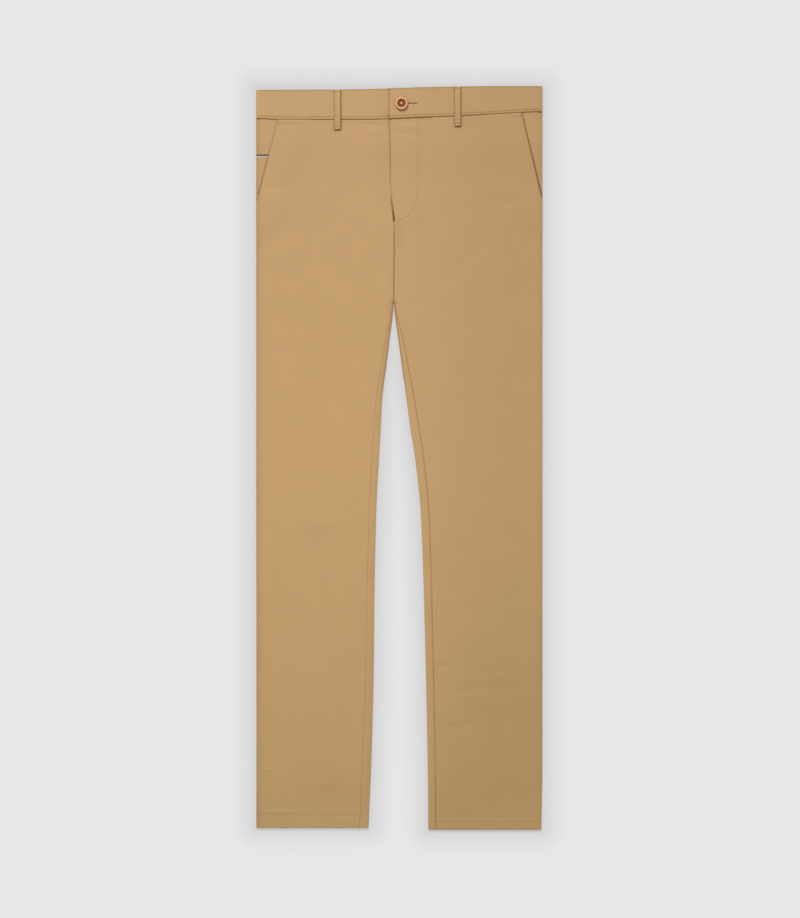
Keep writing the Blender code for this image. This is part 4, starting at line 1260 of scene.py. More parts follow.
def front_belt_loop(side, material):
    """A folded strip that lies on the band and ends, turned under, on the front below the seam."""
    centre, head, foot, seam = loop_place(side)
    fold_top, steps_from = foot + LOOP_FOLD_LENGTH, seam - LOOP_STEPS_OFF
    heights = graded(head, foot, close_at(fold_top, seam), **LOOP_ROWS)
    half = LOOP_WIDTH / 2 - LOOP_WAIST + LOOP_FLARE * smoothstep(foot + LOOP_FLARE_LENGTH, foot, heights)
    half = half - LOOP_CORNER * (1 - rounded(heights - foot, LOOP_CORNER)) * LOOP_CORNER_SHARE
    x = across(centre - half, centre + half, NEAR_TRIM, LOOP_COLUMNS, NEAR_TRIM)
    y = heights[:, None] + 0 * x
    on_front = smoothstep(steps_from, steps_from - LOOP_STEPS_DOWN, y)
    slack = LOOP_SLACK * np.sin(math.pi * np.clip((y - seam) / (head - seam), 0, 1))
    folded = LOOP_FOLD * smoothstep(fold_top, foot + LOOP_FOLD_LENGTH * LOOP_FOLD_STEP, y)
    band = band_underside(side, x) + BAND_CLOTH
    front = front_underside(side, x, np.minimum(y, seam)) + cloth_at(side, y)
    bottom = band + (front - band) * on_front + GAP + slack
    tacked = (head - LOOP_HEAD_TACK, foot + LOOP_FOOT_TACK)
    pinched = sum(bell(y - height, LOOP_TACK_WIDTH) for height in tacked)
    from_side = half[:, None] - np.abs(x - centre)
    stitched = bell(from_side - LOOP_STITCH_OFF, LOOP_STITCH_WIDTH)
    top = bottom + LOOP_CLOTH + folded - LOOP_STITCH_DIP * stitched - LOOP_TACK_DIP * pinched
    off = np.minimum(from_side, np.minimum(head - y, y - foot) * LOOP_END_ROUND)
    edge_shade, width = (np.where(x < centre, *pair) for pair in (LOOP_EDGE_SHADE, LOOP_EDGE_SHADE_WIDTH))
    shade = edge_shade * bell(np.minimum(from_side, y - foot), width)
    shade = np.clip(shade + LOOP_TACK_SHADE * pinched + LOOP_STITCH_SHADE * stitched, 0, 1)
    grids = lying(x, y, top, bottom, rounded(off, LOOP_CLOTH / 2))
    cloth_piece(f"{side}_front_belt_loop", grids, centre - half, material,
                f"belt_loop_front_{side}", shade)


def back_belt_loop(place_name, material):
    """A strip sewn to the back of the band, lying between it and the ground."""
    centre, half = BACK_LOOPS[place_name], LOOP_WIDTH / 2
    heights = graded(BACK_LOOP_TOP, BACK_LOOP_FOOT, **BACK_LOOP_ROWS)[:, None]
    x = across(centre - half, centre + half, NEAR_TRIM, BACK_LOOP_COLUMNS, NEAR_TRIM) + 0 * heights
    y = heights + 0 * x
    off = np.minimum(half - np.abs(x - centre), np.minimum(BACK_LOOP_TOP - y, y - BACK_LOOP_FOOT))
    grids = lying(x, y, 0 * x + LOOP_CLOTH, 0 * x, rounded(off, LOOP_CLOTH / 2))
    cloth_piece(f"{place_name}_back_belt_loop", grids[::-1], centre - half, material,
                f"belt_loop_back_{place_name}")


# ---------------------------------------------------------------- button
class ButtonPoint(NamedTuple):
    """A point of the button's outline, as shares of its radius and of its height."""

    place: str
    radius: float
    height: float


BUTTON_PROFILE = (
    ButtonPoint("underside", 0, 0),
    ButtonPoint("underside edge", 0.72, 0),
    ButtonPoint("flare", 0.94, 0.3),
    ButtonPoint("widest", 1, 0.62),
    ButtonPoint("outer rim", 0.97, 0.86),
    ButtonPoint("rim top", 0.88, 1),
    ButtonPoint("inner rim", 0.76, 0.94),
    ButtonPoint("dish edge", 0.66, 0.66),
    ButtonPoint("dish", 0.5, 0.58),
    ButtonPoint("centre", 0, 0.58),
)
BUTTON_PROFILE_ROUNDS = 2
BUTTON_SEGMENTS = 72
BUTTON_HOLES = 4
BUTTON_SHARP = 40
HOLE_SEGMENTS = 16
JOINED_WITHIN = 0.005 * MM


def turned(name, profile, centre, material=None, segments=BUTTON_SEGMENTS):
    """A solid turned round an upright axis from a profile of (radius, height), axis to axis."""
    bm = bmesh.new()
    verts = [bm.verts.new((centre[0] + r, centre[1], z)) for r, z in profile]
    edges = [bm.edges.new(pair) for pair in zip(verts, verts[1:])]
    bmesh.ops.spin(bm, geom=verts + edges, cent=(*centre, 0), axis=(0, 0, 1), angle=2 * math.pi,
                   steps=segments)
    bmesh.ops.remove_doubles(bm, verts=bm.verts, dist=JOINED_WITHIN)
    return plain_object(name, bm, material)


def button_hole_places():
    for i in range(BUTTON_HOLES):
        angle = 2 * math.pi * (i + 0.5) / BUTTON_HOLES
        yield (BUTTON_AT[0] + BUTTON_HOLE_OFF_CENTRE * math.cos(angle),
               BUTTON_AT[1] + BUTTON_HOLE_OFF_CENTRE * math.sin(angle))


def button_base():
    return float(band_underside("left", BUTTON_AT[0])) + BAND_CLOTH + GAP


def fly_button(material):
    """A button with a raised rim, a dished middle and four holes for the thread."""
    base = button_base()
    points = [(BUTTON_RADIUS * p.radius, base + BUTTON_HEIGHT * p.height) for p in BUTTON_PROFILE]
    button = turned("fly_button", smooth_path(points, BUTTON_PROFILE_ROUNDS), BUTTON_AT, material)
    low, high = base - MM, base + BUTTON_HEIGHT + MM
    outline = [(0, low), (BUTTON_HOLE_RADIUS, low), (BUTTON_HOLE_RADIUS, high), (0, high)]
    cut_out(button, [turned("hole", outline, place, None, HOLE_SEGMENTS) for place in button_hole_places()])
    button.data.set_sharp_from_angle(angle=math.radians(BUTTON_SHARP))
    declared(button, "horn", "button")


def shank(material):
    """The wound thread between the two bands that carries the button."""
    low = float(band_underside("right", BUTTON_AT[0])) + BAND_CLOTH + GAP
    high = button_base() - GAP
    outline = [(0, low)]
    for share in np.linspace(0, 1, SHANK_TURNS * SHANK_STEPS + 1).tolist():
        groove = SHANK_GROOVE * math.cos(2 * math.pi * SHANK_TURNS * share) ** 2
        outline.append((SHANK_RADIUS - groove, low + (high - low) * share))
    outline.append((0, high))
    made = turned("button_shank_thread", outline, BUTTON_AT, material, SHANK_SEGMENTS)
    declared(made, "thread", "button_shank")


# ---------------------------------------------------------------- trees of nodes
MIX_FIRST, MIX_SECOND, MIX_RESULT = 6, 7, 2  # the colour sockets of a Mix node


class Value:
    """A socket of a node tree. Sums on it add Math nodes."""

    def __init__(self, tree, socket=None):
        self.tree, self.socket = tree, socket

    def node(self, kind, settings, inputs, output=0):
        """Makes any node: its settings first, then the values or links of its sockets."""
        made = self.tree.nodes.new(kind)
        for name, value in settings.items():
            setattr(made, name, value)
        for name, value in inputs.items():
            if isinstance(value, Value):
                self.tree.links.new(value.socket, made.inputs[name])
            else:
                made.inputs[name].default_value = value
        return Value(self.tree, made.outputs[output])

    def output(self, name):
        """Another output of the node that this value comes from."""
        return Value(self.tree, self.socket.node.outputs[name])

    def math(self, operation, *others):
        return self.node("ShaderNodeMath", {"operation": operation}, dict(enumerate((self, *others))))

    def __add__(self, other):
        return self.math("ADD", other)

    def __sub__(self, other):
        return self.math("SUBTRACT", other)

    def __rsub__(self, other):
        return self * -1 + other

    def __mul__(self, other):
        return self.math("MULTIPLY", other)

    def __truediv__(self, other):
        return self.math("DIVIDE", other)

    __radd__ = __add__
    __rmul__ = __mul__

    def below(self, other):
        """1 where this value is under another, and 0 elsewhere."""
        return self.math("LESS_THAN", other)

    def hump(self):
        """0, 1 and 0 again, over each whole step."""
        return (self.math("FRACT") * math.pi).math("SINE")

    def ramp(self, start, end):
        """0 up to one value, 1 from another, and smooth between them."""
        sockets = {"Value": self, "From Min": start, "From Max": end}
        return self.node("ShaderNodeMapRange", {"interpolation_type": "SMOOTHSTEP"}, sockets)

    def times(self, other):
        """A place or a colour, multiplied part by part."""
        return self.node("ShaderNodeVectorMath", {"operation": "MULTIPLY"}, {0: self, 1: other})

    def noise(self, size, detail, roughness):
        """Noise from 0 to 1 whose features are about this size, on a place in metres."""
        sockets = {"Vector": self, "Scale": 1 / size, "Detail": detail, "Roughness": roughness}
        return self.node("ShaderNodeTexNoise", {}, sockets)

    def axes(self):
        first = self.node("ShaderNodeSeparateXYZ", {}, {0: self})
        return first, first.output("Y"), first.output("Z")

    def between(self, first, second):
        """The colour this share of the way from one to another."""
        ends = (end if isinstance(end, Value) else (*end, 1) for end in (first, second))
        sockets = dict(zip(("Factor", MIX_FIRST, MIX_SECOND), (self, *ends)))
        return self.node("ShaderNodeMix", {"data_type": "RGBA"}, sockets, MIX_RESULT)


# ---------------------------------------------------------------- stitches
RANDOM_LEAST, RANDOM_MOST, RANDOM_NUMBER = 2, 3, 1  # the number sockets of a Random Value node
STITCH_SIZES = ("Pitch", "Length", "Thread", "Unevenness")
BALL_FACES = 6


def stitch_tree(material):
    """Stitches laid end to end along edges, each a short rounded length of thread."""
    tree = bpy.data.node_groups.new("stitches", "GeometryNodeTree")
    sockets = tree.interface.new_socket
    sockets("Geometry", in_out="INPUT", socket_type="NodeSocketGeometry")
    sizes = [sockets(name, in_out="INPUT", socket_type="NodeSocketFloat") for name in STITCH_SIZES]
    sockets("Geometry", in_out="OUTPUT", socket_type="NodeSocketGeometry")
    edges = Value(tree).node("NodeGroupInput", {}, {}, "Geometry")
    pitch, length, thread, uneven = (edges.output(name) for name in STITCH_SIZES)
    path = edges.node("GeometryNodeMeshToCurve", {}, {"Mesh": edges})
    places = path.node("GeometryNodeCurveToPoints", {"mode": "LENGTH"}, {"Curve": path, "Length": pitch})
    tangent = {"Vector": places.output("Tangent")}
    along = places.node("FunctionNodeAlignRotationToVector", {"axis": "Z"}, tangent)
    ball = places.node("GeometryNodeMeshUVSphere", {}, {"Segments": BALL_FACES, "Rings": BALL_FACES})
    size = thread.node("ShaderNodeCombineXYZ", {}, {"X": thread, "Y": thread, "Z": length * 0.5})
    chance = {RANDOM_LEAST: 1 - uneven, RANDOM_MOST: 1.0, "Seed": 3}
    share = uneven.node("FunctionNodeRandomValue", {"data_type": "FLOAT"}, chance, RANDOM_NUMBER)
    shrunk = size.node("ShaderNodeVectorMath", {"operation": "SCALE"}, {0: size, "Scale": share})
    laid = {"Points": places, "Instance": ball, "Rotation": along, "Scale": shrunk}
    stitches = places.node("GeometryNodeInstanceOnPoints", {}, laid)
    real = stitches.node("GeometryNodeRealizeInstances", {}, {"Geometry": stitches})
    smooth = real.node("GeometryNodeSetShadeSmooth", {}, {"Geometry": real})
    finished = smooth.node("GeometryNodeSetMaterial", {}, {"Geometry": smooth, "Material": material})
    tree.links.new(finished.socket, tree.nodes.new("NodeGroupOutput").inputs["Geometry"])
    return tree, [size.identifier for size in sizes]


def path_object(name, paths):
    mesh = bpy.data.meshes.new(name)
    points = [point for path in paths for point in path]
    edges, start = [], 0
    for path in paths:
        edges += [(start + i, start + i + 1) for i in range(len(path) - 1)]
        start += len(path)
    mesh.from_pydata(points, edges, [])
    return in_the_scene(name, mesh)


def sew(name, paths, stitches, kind=SEAM_STITCH):
    """A piece made of every stitch on some paths, each a list of points in space."""
    tree, sockets = stitches
    made = path_object(name, paths)
    modifier = made.modifiers.new("stitches", "NODES")
    modifier.node_group = tree
    for socket, size in zip(sockets, (*kind, STITCH_UNEVENNESS)):
        modifier[socket] = size
    made_plain(made)
    declared(made, "thread")


def lifted(points, top, side, above=STITCH_ABOVE):
    """Plan points lifted to the top of a piece."""
    x, y = np.array(points, float).T
    return np.stack([x, y, top(side, x, y) + above], -1).tolist()


def dense(path, step=PATH_POINTS):
    """The same plan path with points close together, so that it follows the cloth."""
    points = [path[0]]
    for a, b in zip(path, path[1:]):
        count = max(1, math.ceil(math.dist(a, b) / step))
        points += [(a[0] + (b[0] - a[0]) * i / count, a[1] + (b[1] - a[1]) * i / count)
                   for i in range(1, count + 1)]
    return points


def seams_and_edges(stitches):
    """The stitching that shows: fly, pockets, hems, waist seam."""
    for side, paths in FRONT_STITCHES.items():
        inwards, y = INWARDS[side], hem_stitch(side)
        sew(f"{side}_front_stitches", [lifted(dense(path), front_top, side) for path in paths], stitches)
        outer, inner, wrap = (float(EDGES[side, edge](y)) for edge in ("outer", "inner", "wrap"))
        inseam = inner - inwards * (wrap + GAP)
        hem = [(outer + inwards * HEM_STITCH_FROM, y), (inseam - inwards * HEM_STITCH_TO, y)]
        sew(f"{side}_hem_stitches", [lifted(dense(hem), front_top, side)], stitches)
        start = float(EDGES[side, "outer"](WAIST_HEIGHT)) + inwards * BAND_STITCH_FROM
        end = float(fly_edge(WAIST_HEIGHT)) + BAND_STITCH_TO[side]
        x = np.linspace(start, end, BAND_STITCH_POINTS)
        line = np.stack([x, waist_seam(x) + BAND_STITCH_OFF], -1)
        sew(f"{side}_waistband_stitches", [lifted(line, band_top, side)], stitches)


def tacks(stitches):
    """Close short stitches that hold the ends of the belt loops and the tops of the pocket mouths."""
    rows = []
    for side in FRONT_LOOPS:
        centre, head, foot, _ = loop_place(side)
        head, foot = head - LOOP_HEAD_TACK, foot + LOOP_FOOT_TACK
        x = np.linspace(centre - LOOP_TACK_HALF, centre + LOOP_TACK_HALF, LOOP_TACK_POINTS)
        band = band_underside(side, x) + BAND_CLOTH
        front = front_underside(side, x, foot) + cloth_at(side, foot) + LOOP_FOLD
        for y, under in ((head, band), (foot, front)):
            z = under + GAP + LOOP_CLOTH - LOOP_TACK_DIP + TACK_ABOVE
            rows.append(np.stack([x, y + 0 * x, z], -1).tolist())
    sew("belt_loop_tacks", rows, stitches, LOOP_TACK)
    rows = []
    for side, slant in SLANTS.items():
        x, y = slant.top[0] + INWARDS[side] * POCKET_TACK_IN, slant.top[1] - POCKET_TACK_DOWN
        row = [(x, y), (x + INWARDS[side] * POCKET_TACK_LENGTH, y)]
        rows.append(lifted(dense(row, CLOSE_POINTS), front_top, side))
    sew("pocket_tacks", rows, stitches, POCKET_TACK)


def buttonhole_stitches(stitches):
    """The purl of close stitches round the slit, past the button."""
    half = BUTTONHOLE_WIDTH / 2 + PURL_OFF
    start, end = BUTTON_AT[0] + BUTTON_RADIUS - PURL_UNDER_BUTTON, BUTTONHOLE_END - half
    y = BUTTON_AT[1]
    path = [(start, y + half), (end, y + half)]
    path += [(end + half * math.sin(turn), y + half * math.cos(turn)) for turn in PURL_TURN]
    path += [(end, y - half), (start, y - half)]
    loop = lifted(dense(path, CLOSE_POINTS), band_top, "left", PURL_ABOVE)
    sew("buttonhole_purl", [loop], stitches, PURL_STITCH)


def button_thread(stitches):
    """Two crossing groups of strands through the button's holes."""
    places = list(button_hole_places())
    dish = button_base() + BUTTON_HEIGHT * BUTTON_PROFILE[-1].height
    rows = []
    for a, b in zip(places, places[2:]):
        run_x, run_y = b[0] - a[0], b[1] - a[1]
        for off in STRANDS:
            aside = off / math.hypot(run_x, run_y)
            row = []
            for i in range(STRAND_STEPS + 1):
                t = i / STRAND_STEPS
                z = dish - STRAND_DEPTH + STRAND_RISE * math.sin(math.pi * t) ** 0.5
                row.append((a[0] + run_x * t - run_y * aside, a[1] + run_y * t + run_x * aside, z))
            rows.append(row)
    sew("button_thread", rows, stitches, BUTTON_STRAND)


# ---------------------------------------------------------------- finishes
class Looks(NamedTuple):
    """How a material takes the light. Its pattern adds uneven to its roughness. relief is in mm."""

    name: str
    metallic: float
    sheen: float
    specular: float
    roughness: float
    uneven: float
    relief: float


LOOKS = (
    Looks("satin", 0, 0.06, 0.35, 0.43, 0.16, 0.07),
    Looks("sewing_thread", 0, 0.1, 0.3, 0.5, 0.12, 0.05),
    Looks("button_thread", 0, 0.1, 0.3, 0.5, 0.12, 0.05),
    Looks("pocketing", 0, 0.1, 0.25, 0.7, 0.15, 0.08),
    Looks("zip_tape", 0, 0.1, 0.25, 0.7, 0.15, 0.08),
    Looks("contrast_tape", 0, 0, 0.25, 0.7, 0.1, 0.1),
    Looks("horn", 0, 0, 0.2, 0.42, 0.15, 0.02),
    Looks("zip_brass", 1, 0, 0.5, 0.25, 0.2, 0.03),
    Looks("floor_board", 0, 0, 0, 0.85, 0.1, 0.01),
)
SHEEN_ROUGHNESS = 0.4


class Noise(NamedTuple):
    """A pattern of noise: how large its features are, and how fine and strong what lies on them is."""

    size: float
    detail: float
    roughness: float


SLUB = Noise(30 * MM, 3, 0.5)
MOTTLE = Noise(38 * MM, 3, 0.55)
NAP = Noise(1.6 * MM, 2, 0.5)
WEAVE_MOTTLE = Noise(9 * MM, 3, 0.5)
TAPE_MOTTLE = Noise(4 * MM, 2, 0.5)
THREAD_TONE = Noise(6 * MM, 2, 0.5)
HORN_STREAK = Noise(4 * MM, 4, 0.6)
BRASS_TONE = Noise(3 * MM, 3, 0.5)
FLOOR_TONE = Noise(400 * MM, 2, 0.5)
SLUB_STRETCH = (14, 1, 1)
HORN_STRETCH = (1, 5, 1)


class Shares(NamedTuple):
    """How much of each of the satin's patterns is added up, and a number besides."""

    weave: float
    slub: float
    mottle: float
    nap: float
    besides: float


SATIN_TONE = Shares(0.12, 0.5, 0.6, 0.35, -0.285)
SATIN_RELIEF = Shares(0.55, 0.3, 0, 0.35, 0)
SATIN_END_PITCH = 0.32 * MM
SATIN_FLOAT_LENGTH = 1.3 * MM
SATIN_FLOAT_STEP = 0.4
SATIN_FLOAT_SHARE = 0.6
# The satin's colour where it is most lit and least lit, the two ends of a painted fall-off of light.
SATIN_LIGHT = (0.582, 0.355, 0.156)
SATIN_DEEP = (0.440, 0.280, 0.116)
SATIN_UNDERTONE = (0.90, 0.895, 0.885)
SATIN_OVERTONE = (1.0, 1.0, 1.0)
# The colour that painted shade darkens the satin towards, at seams, edges, folds and patches.
SATIN_PAINTED_SHADE = (0.155, 0.076, 0.010)
SATIN_DULL_IN_SEAM = 0.45
SATIN_DULL_IN_SLUB = 0.1
# Painted fall-off of light: how the satin's colour darkens across to the left leg and down to the hems.
SATIN_FALLOFF_SIDES = (-45 * MM, 165 * MM)
SATIN_FALLOFF_ACROSS = 0.5
SATIN_FALLOFF_DOWN = 0.7
SATIN_FALLOFF_CURVE = 1.25
SATIN_FALLOFF_LENGTH = -515 * MM
TAPE_STITCH_UP = 3.15 * MM
TAPE_STITCH_WIDTH = 1.45 * MM
TAPE_STITCH_PITCH = 2.1 * MM
TAPE_STITCH_FILL = 0.85
TAPE_THREAD = 0.35 * MM
TAPE_WEAVE_SHARE = 0.4
TAPE_STITCH = (0.028, 0.009, 0.004)
POCKETING_THREAD = 0.4 * MM
ZIP_TAPE_THREAD = 0.5 * MM
THREAD_TWIST = 0.35 * MM
HORN_RIM = (0.80, 0.47, 0.27)
HORN_RIM_FROM = 0.68
HORN_RIM_TO = 0.76

# The deepest and the lightest colour of a material.
TAPE_TONES = ((0.78, 0.64, 0.52), (0.95, 0.80, 0.67))
SEWING_TONES = ((0.75, 0.74, 0.72), (0.95, 0.95, 0.95))
BUTTON_THREAD_TONES = ((0.85, 0.5, 0.3), (0.95, 0.62, 0.38))
POCKETING_TONES = ((0.62, 0.56, 0.45), (0.74, 0.68, 0.56))
ZIP_TAPE_TONES = ((0.4, 0.26, 0.13), (0.5, 0.33, 0.17))
HORN_TONES = ((0.13, 0.026, 0.003), (0.36, 0.1, 0.022))
BRASS_TONES = ((0.55, 0.42, 0.2), (0.78, 0.62, 0.36))


class Finish:
    """A material, with the places on its piece, and the colour, roughness and relief that it gets."""

    def __init__(self, name):
        self.looks = next(row for row in LOOKS if row.name == name)
        self.material = bpy.data.materials.new(name)
        self.material.use_nodes = True
        self.tree = self.material.node_tree
        self.surface = self.tree.nodes["Principled BSDF"].inputs
        constants = {"Metallic": self.looks.metallic, "Sheen Weight": self.looks.sheen,
                     "Sheen Roughness": SHEEN_ROUGHNESS, "Specular IOR Level": self.looks.specular}
        for socket, value in constants.items():
            self.surface[socket].default_value = value
        start = Value(self.tree)
        self.place = start.node("ShaderNodeTexCoord", {}, {}, "Object")
        self.flow = start.node("ShaderNodeUVMap", {"uv_map": FLOW}, {})
        self.shade = start.node("ShaderNodeAttribute", {"attribute_name": SHADE}, {}, "Fac")

    def dress(self, colour, pattern, relief, dull=0):
        roughness = pattern * self.looks.uneven + (dull + self.looks.roughness)
        heights = {"Height": relief, "Strength": 1.0, "Distance": self.looks.relief * MM}
        bump = relief.node("ShaderNodeBump", {}, heights)
        for socket, value in zip(("Base Color", "Roughness", "Normal"), (colour, roughness, bump)):
            self.tree.links.new(value.socket, self.surface[socket])
        return self.material


def satin_ground(finish):
    """The cloth's colour from place to place: a little deeper to the left leg and towards the hems, a painted
    fall-off of light, lightest at the right leg's waist.
    """
    x, y, _ = finish.place.axes()
    darker_down = (y / SATIN_FALLOFF_LENGTH).math("MAXIMUM", 0).math("POWER", SATIN_FALLOFF_CURVE)
    darker = x.ramp(*SATIN_FALLOFF_SIDES) * SATIN_FALLOFF_ACROSS + darker_down * SATIN_FALLOFF_DOWN
    return darker.between(SATIN_LIGHT, SATIN_DEEP)


def mixed(patterns, shares):
    """The shares of the patterns, added up."""
    return sum(pattern * share for pattern, share in zip(patterns, shares) if share) + shares.besides


def satin_finish():
    """Sateen: long floats of the warp over five fillings, with a soft gloss along them."""
    finish = Finish("satin")
    across_cloth, up_cloth, _ = finish.flow.axes()
    end = across_cloth / SATIN_END_PITCH
    pick = up_cloth / SATIN_FLOAT_LENGTH + end.math("FLOOR") * SATIN_FLOAT_STEP
    weave = end.hump() * (pick.hump() * SATIN_FLOAT_SHARE + (1 - SATIN_FLOAT_SHARE))
    slub = finish.flow.times(SLUB_STRETCH).noise(*SLUB)
    mottle = finish.place.noise(*MOTTLE)
    patterns = (weave, slub, mottle, finish.place.noise(*NAP))
    tone = mixed(patterns, SATIN_TONE).between(SATIN_UNDERTONE, SATIN_OVERTONE)
    # Painted shade: the shade map darkens the satin's colour towards a deep brown.
    colour = finish.shade.between(satin_ground(finish).times(tone), SATIN_PAINTED_SHADE)
    dull = slub * SATIN_DULL_IN_SLUB + finish.shade * SATIN_DULL_IN_SEAM
    return finish.dress(colour, mottle, mixed(patterns, SATIN_RELIEF), dull)


def plain_weave_finish(name, tones, thread):
    """A plain weave, over and under, for tapes and pocketing."""
    finish = Finish(name)
    x, y, _ = finish.place.axes()
    over = (x / thread).hump() * (y / thread).hump()
    mottle = finish.place.noise(*WEAVE_MOTTLE)
    return finish.dress(((over + mottle) / 2).between(*tones), mottle, over)


def contrast_tape_finish():
    """White tape, with a row of dark stitches near its upper edge."""
    finish = Finish("contrast_tape")
    x, y, _ = finish.place.axes()
    row = (y - (COIN_POCKET_MOUTH - COIN_TRIM_HEIGHT + TAPE_STITCH_UP)).math("ABSOLUTE")
    stitch = row.below(TAPE_STITCH_WIDTH) * (x / TAPE_STITCH_PITCH).math("FRACT").below(TAPE_STITCH_FILL)
    weave = (x / TAPE_THREAD).hump() * (y / TAPE_THREAD).hump()
    mottle = finish.place.noise(*TAPE_MOTTLE)
    tone = weave * TAPE_WEAVE_SHARE + mottle * (1 - TAPE_WEAVE_SHARE)
    return finish.dress(stitch.between(tone.between(*TAPE_TONES), TAPE_STITCH), mottle, weave - stitch)


def thread_finish(name, tones, matched=False):
    """Twisted sewing thread, whose colours are shares of the cloth's where it is matched to it."""
    finish = Finish(name)
    x, y, z = finish.place.axes()
    twist = ((x + y + z) / THREAD_TWIST).hump()
    tone = finish.place.noise(*THREAD_TONE)
    colour = ((twist + tone) / 2).between(*tones)
    if matched:
        # Matched thread takes the cloth's colour, with its painted fall-off of light.
        colour = colour.times(satin_ground(finish))
    return finish.dress(colour, tone, twist)


def horn_finish():
    """Polished reddish-brown horn, streaked, and paler at the rim."""
    finish = Finish("horn")
    x, y, _ = finish.place.axes()
    off_x, off_y = x - BUTTON_AT[0], y - BUTTON_AT[1]
    reach = (off_x * off_x + off_y * off_y).math("SQRT") / BUTTON_RADIUS
    streak = finish.place.times(HORN_STRETCH).noise(*HORN_STREAK)
    colour = reach.ramp(HORN_RIM_FROM, HORN_RIM_TO).between(streak.between(*HORN_TONES), HORN_RIM)
    return finish.dress(colour, streak, streak)


def brass_finish():
    finish = Finish("zip_brass")
    tone = finish.place.noise(*BRASS_TONE)
    return finish.dress(tone.between(*BRASS_TONES), tone, tone)


# ---------------------------------------------------------------- floor, light and camera
IMAGE_SIZE = (800, 918)
PIXEL = 1.46 * MM
VIEW_CENTRE = (1.1 * MM, -1.46 * MM)
VIEW_LEVEL = 5 * MM
CAMERA_HEIGHT = 3.2
SENSOR = 36.0
WORLD_LIGHT = 0.44
WORLD_COLOUR = (1.12, 1.0, 0.80)
KEY_LIGHT = 2.86
KEY_COLOUR = (0.906, 1.0, 1.157)
KEY_SPREAD = 26
KEY_TILT = 52
KEY_TURN = 14
CAMERA_CLIP = (0.1, 100)
OUTLINE_POINTS = {"inner": 12, "outer": 3}
FLOOR_HALF = 4.5
FLOOR_INNER = 4.275
FLOOR_DEPTH = 80 * MM
FLOOR_UNDER = 0.15 * MM
FLOOR_CLOSE = (290 * MM, 620 * MM)
FLOOR_STEPS = (96, 206)
# The floor's colour, the colour of the shadow painted round the trousers, and the share that glows as painted
# light; DARK_ values give the painted shadow's reach and fall.
FLOOR_COLOUR = (0.80, 0.80, 0.80)
FLOOR_DARK = (0.655, 0.655, 0.655)
FLOOR_GLOW = 0.6
DARK_REACH = 42 * MM
DARK_FALL = 1.6


def round_the_piece():
    """The trousers' outline in plan, on the ground."""
    paths = []
    for side in INWARDS:
        foot, runs = HEM_HEIGHT[side], []
        for edge, start, end in (("inner", CROTCH[1], foot), ("outer", foot, float(waist_top(0)))):
            heights = np.linspace(start, end, OUTLINE_POINTS[edge])
            runs += [(float(EDGES[side, edge](y)), y) for y in heights]
        paths.append(runs)
    return [*paths[0][::-1], *paths[1], paths[0][-1]]


def floor():
    """A pale board that partly glows as painted light, with a soft shadow painted round the trousers as a
    contact shadow.
    """
    ticks = []
    for half, steps in zip(FLOOR_CLOSE, FLOOR_STEPS):
        close = np.linspace(-half, half, steps)
        ticks.append(np.concatenate([[-FLOOR_HALF, -FLOOR_INNER], close, [FLOOR_INNER, FLOOR_HALF]]))
    x, y = np.meshgrid(*ticks)
    far = distance_to_path(x, y, round_the_piece())
    shade = np.clip(1 - far / DARK_REACH, 0, 1) ** DARK_FALL
    top = np.stack([x, y, 0 * x - FLOOR_UNDER], -1)
    finish = Finish("floor_board")
    tone = finish.place.noise(*FLOOR_TONE)
    # Painted shadow: the shade map darkens the board round the trousers' outline.
    colour = finish.shade.between(FLOOR_COLOUR, FLOOR_DARK)
    # The glow is painted light: emission that thins the shadows cast on the board.
    glow = colour.times((FLOOR_GLOW,) * 3)
    finish.surface["Emission Strength"].default_value = 1
    finish.tree.links.new(glow.socket, finish.surface["Emission Color"])
    board = finish.dress(colour.times((1 - FLOOR_GLOW,) * 3), tone, tone)
    shell("floor", top, top - (0, 0, FLOOR_DEPTH), top[..., :2], board, shade)


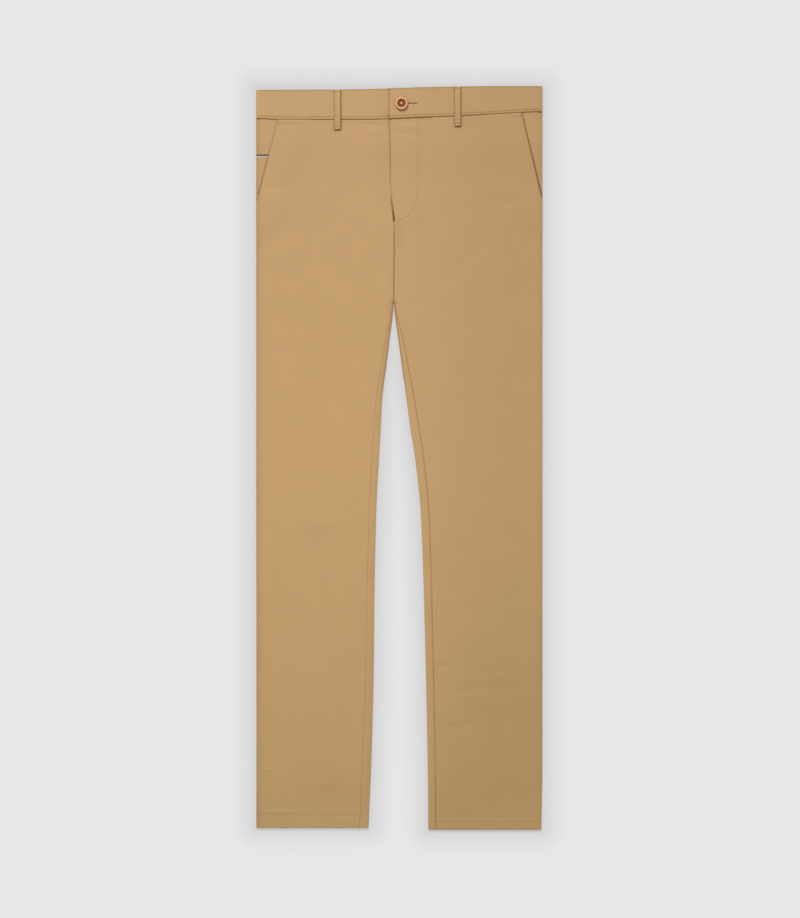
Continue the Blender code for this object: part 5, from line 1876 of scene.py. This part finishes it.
def light_the_scene():
    world = bpy.data.worlds.new("studio")
    bpy.context.scene.world = world
    world.use_nodes = True
    background = world.node_tree.nodes["Background"].inputs
    background["Color"].default_value = (*WORLD_COLOUR, 1)
    background["Strength"].default_value = WORLD_LIGHT
    lamp = bpy.data.lights.new("key", "SUN")
    lamp.energy = KEY_LIGHT
    lamp.color = KEY_COLOUR
    lamp.angle = math.radians(KEY_SPREAD)
    in_the_scene("key", lamp).rotation_euler = (math.radians(-KEY_TILT), 0, math.radians(KEY_TURN))


def place_the_camera():
    lens = bpy.data.cameras.new("camera")
    lens.sensor_fit = "AUTO"
    lens.sensor_width = SENSOR
    lens.lens = SENSOR * CAMERA_HEIGHT / (IMAGE_SIZE[1] * PIXEL)
    lens.clip_start, lens.clip_end = CAMERA_CLIP
    camera = in_the_scene("camera", lens)
    camera.location = (*VIEW_CENTRE, CAMERA_HEIGHT + VIEW_LEVEL)
    bpy.context.scene.camera = camera


def repaint(material, *nodes):
    for name in nodes:
        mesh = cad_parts[name].data
        mesh.materials.clear()
        mesh.materials.append(material)


def dress():
    satin = satin_finish()
    thread = thread_finish("sewing_thread", SEWING_TONES, matched=True)
    pale_thread = thread_finish("button_thread", BUTTON_THREAD_TONES)
    pocketing = plain_weave_finish("pocketing", POCKETING_TONES, POCKETING_THREAD)
    zip_tape = plain_weave_finish("zip_tape", ZIP_TAPE_TONES, ZIP_TAPE_THREAD)
    for side in INWARDS:
        back_panel(side, satin)
        front_panel(side, satin)
        pocket_facing(side, satin)
        pocket_bag(side, pocketing)
    coin_pocket(satin, contrast_tape_finish())
    waistbands(satin)
    for side in INWARDS:
        front_belt_loop(side, satin)
    for place_name in BACK_LOOPS:
        back_belt_loop(place_name, satin)
    fly_button(horn_finish())
    shank(thread)
    stitches = stitch_tree(thread)
    seams_and_edges(stitches)
    tacks(stitches)
    buttonhole_stitches(stitches)
    button_thread(stitch_tree(pale_thread))
    repaint(zip_tape, "zip")
    repaint(brass_finish(), "zip_slider")


dress()
floor()
light_the_scene()
place_the_camera()
bpy.context.scene.view_settings.view_transform = "Standard"
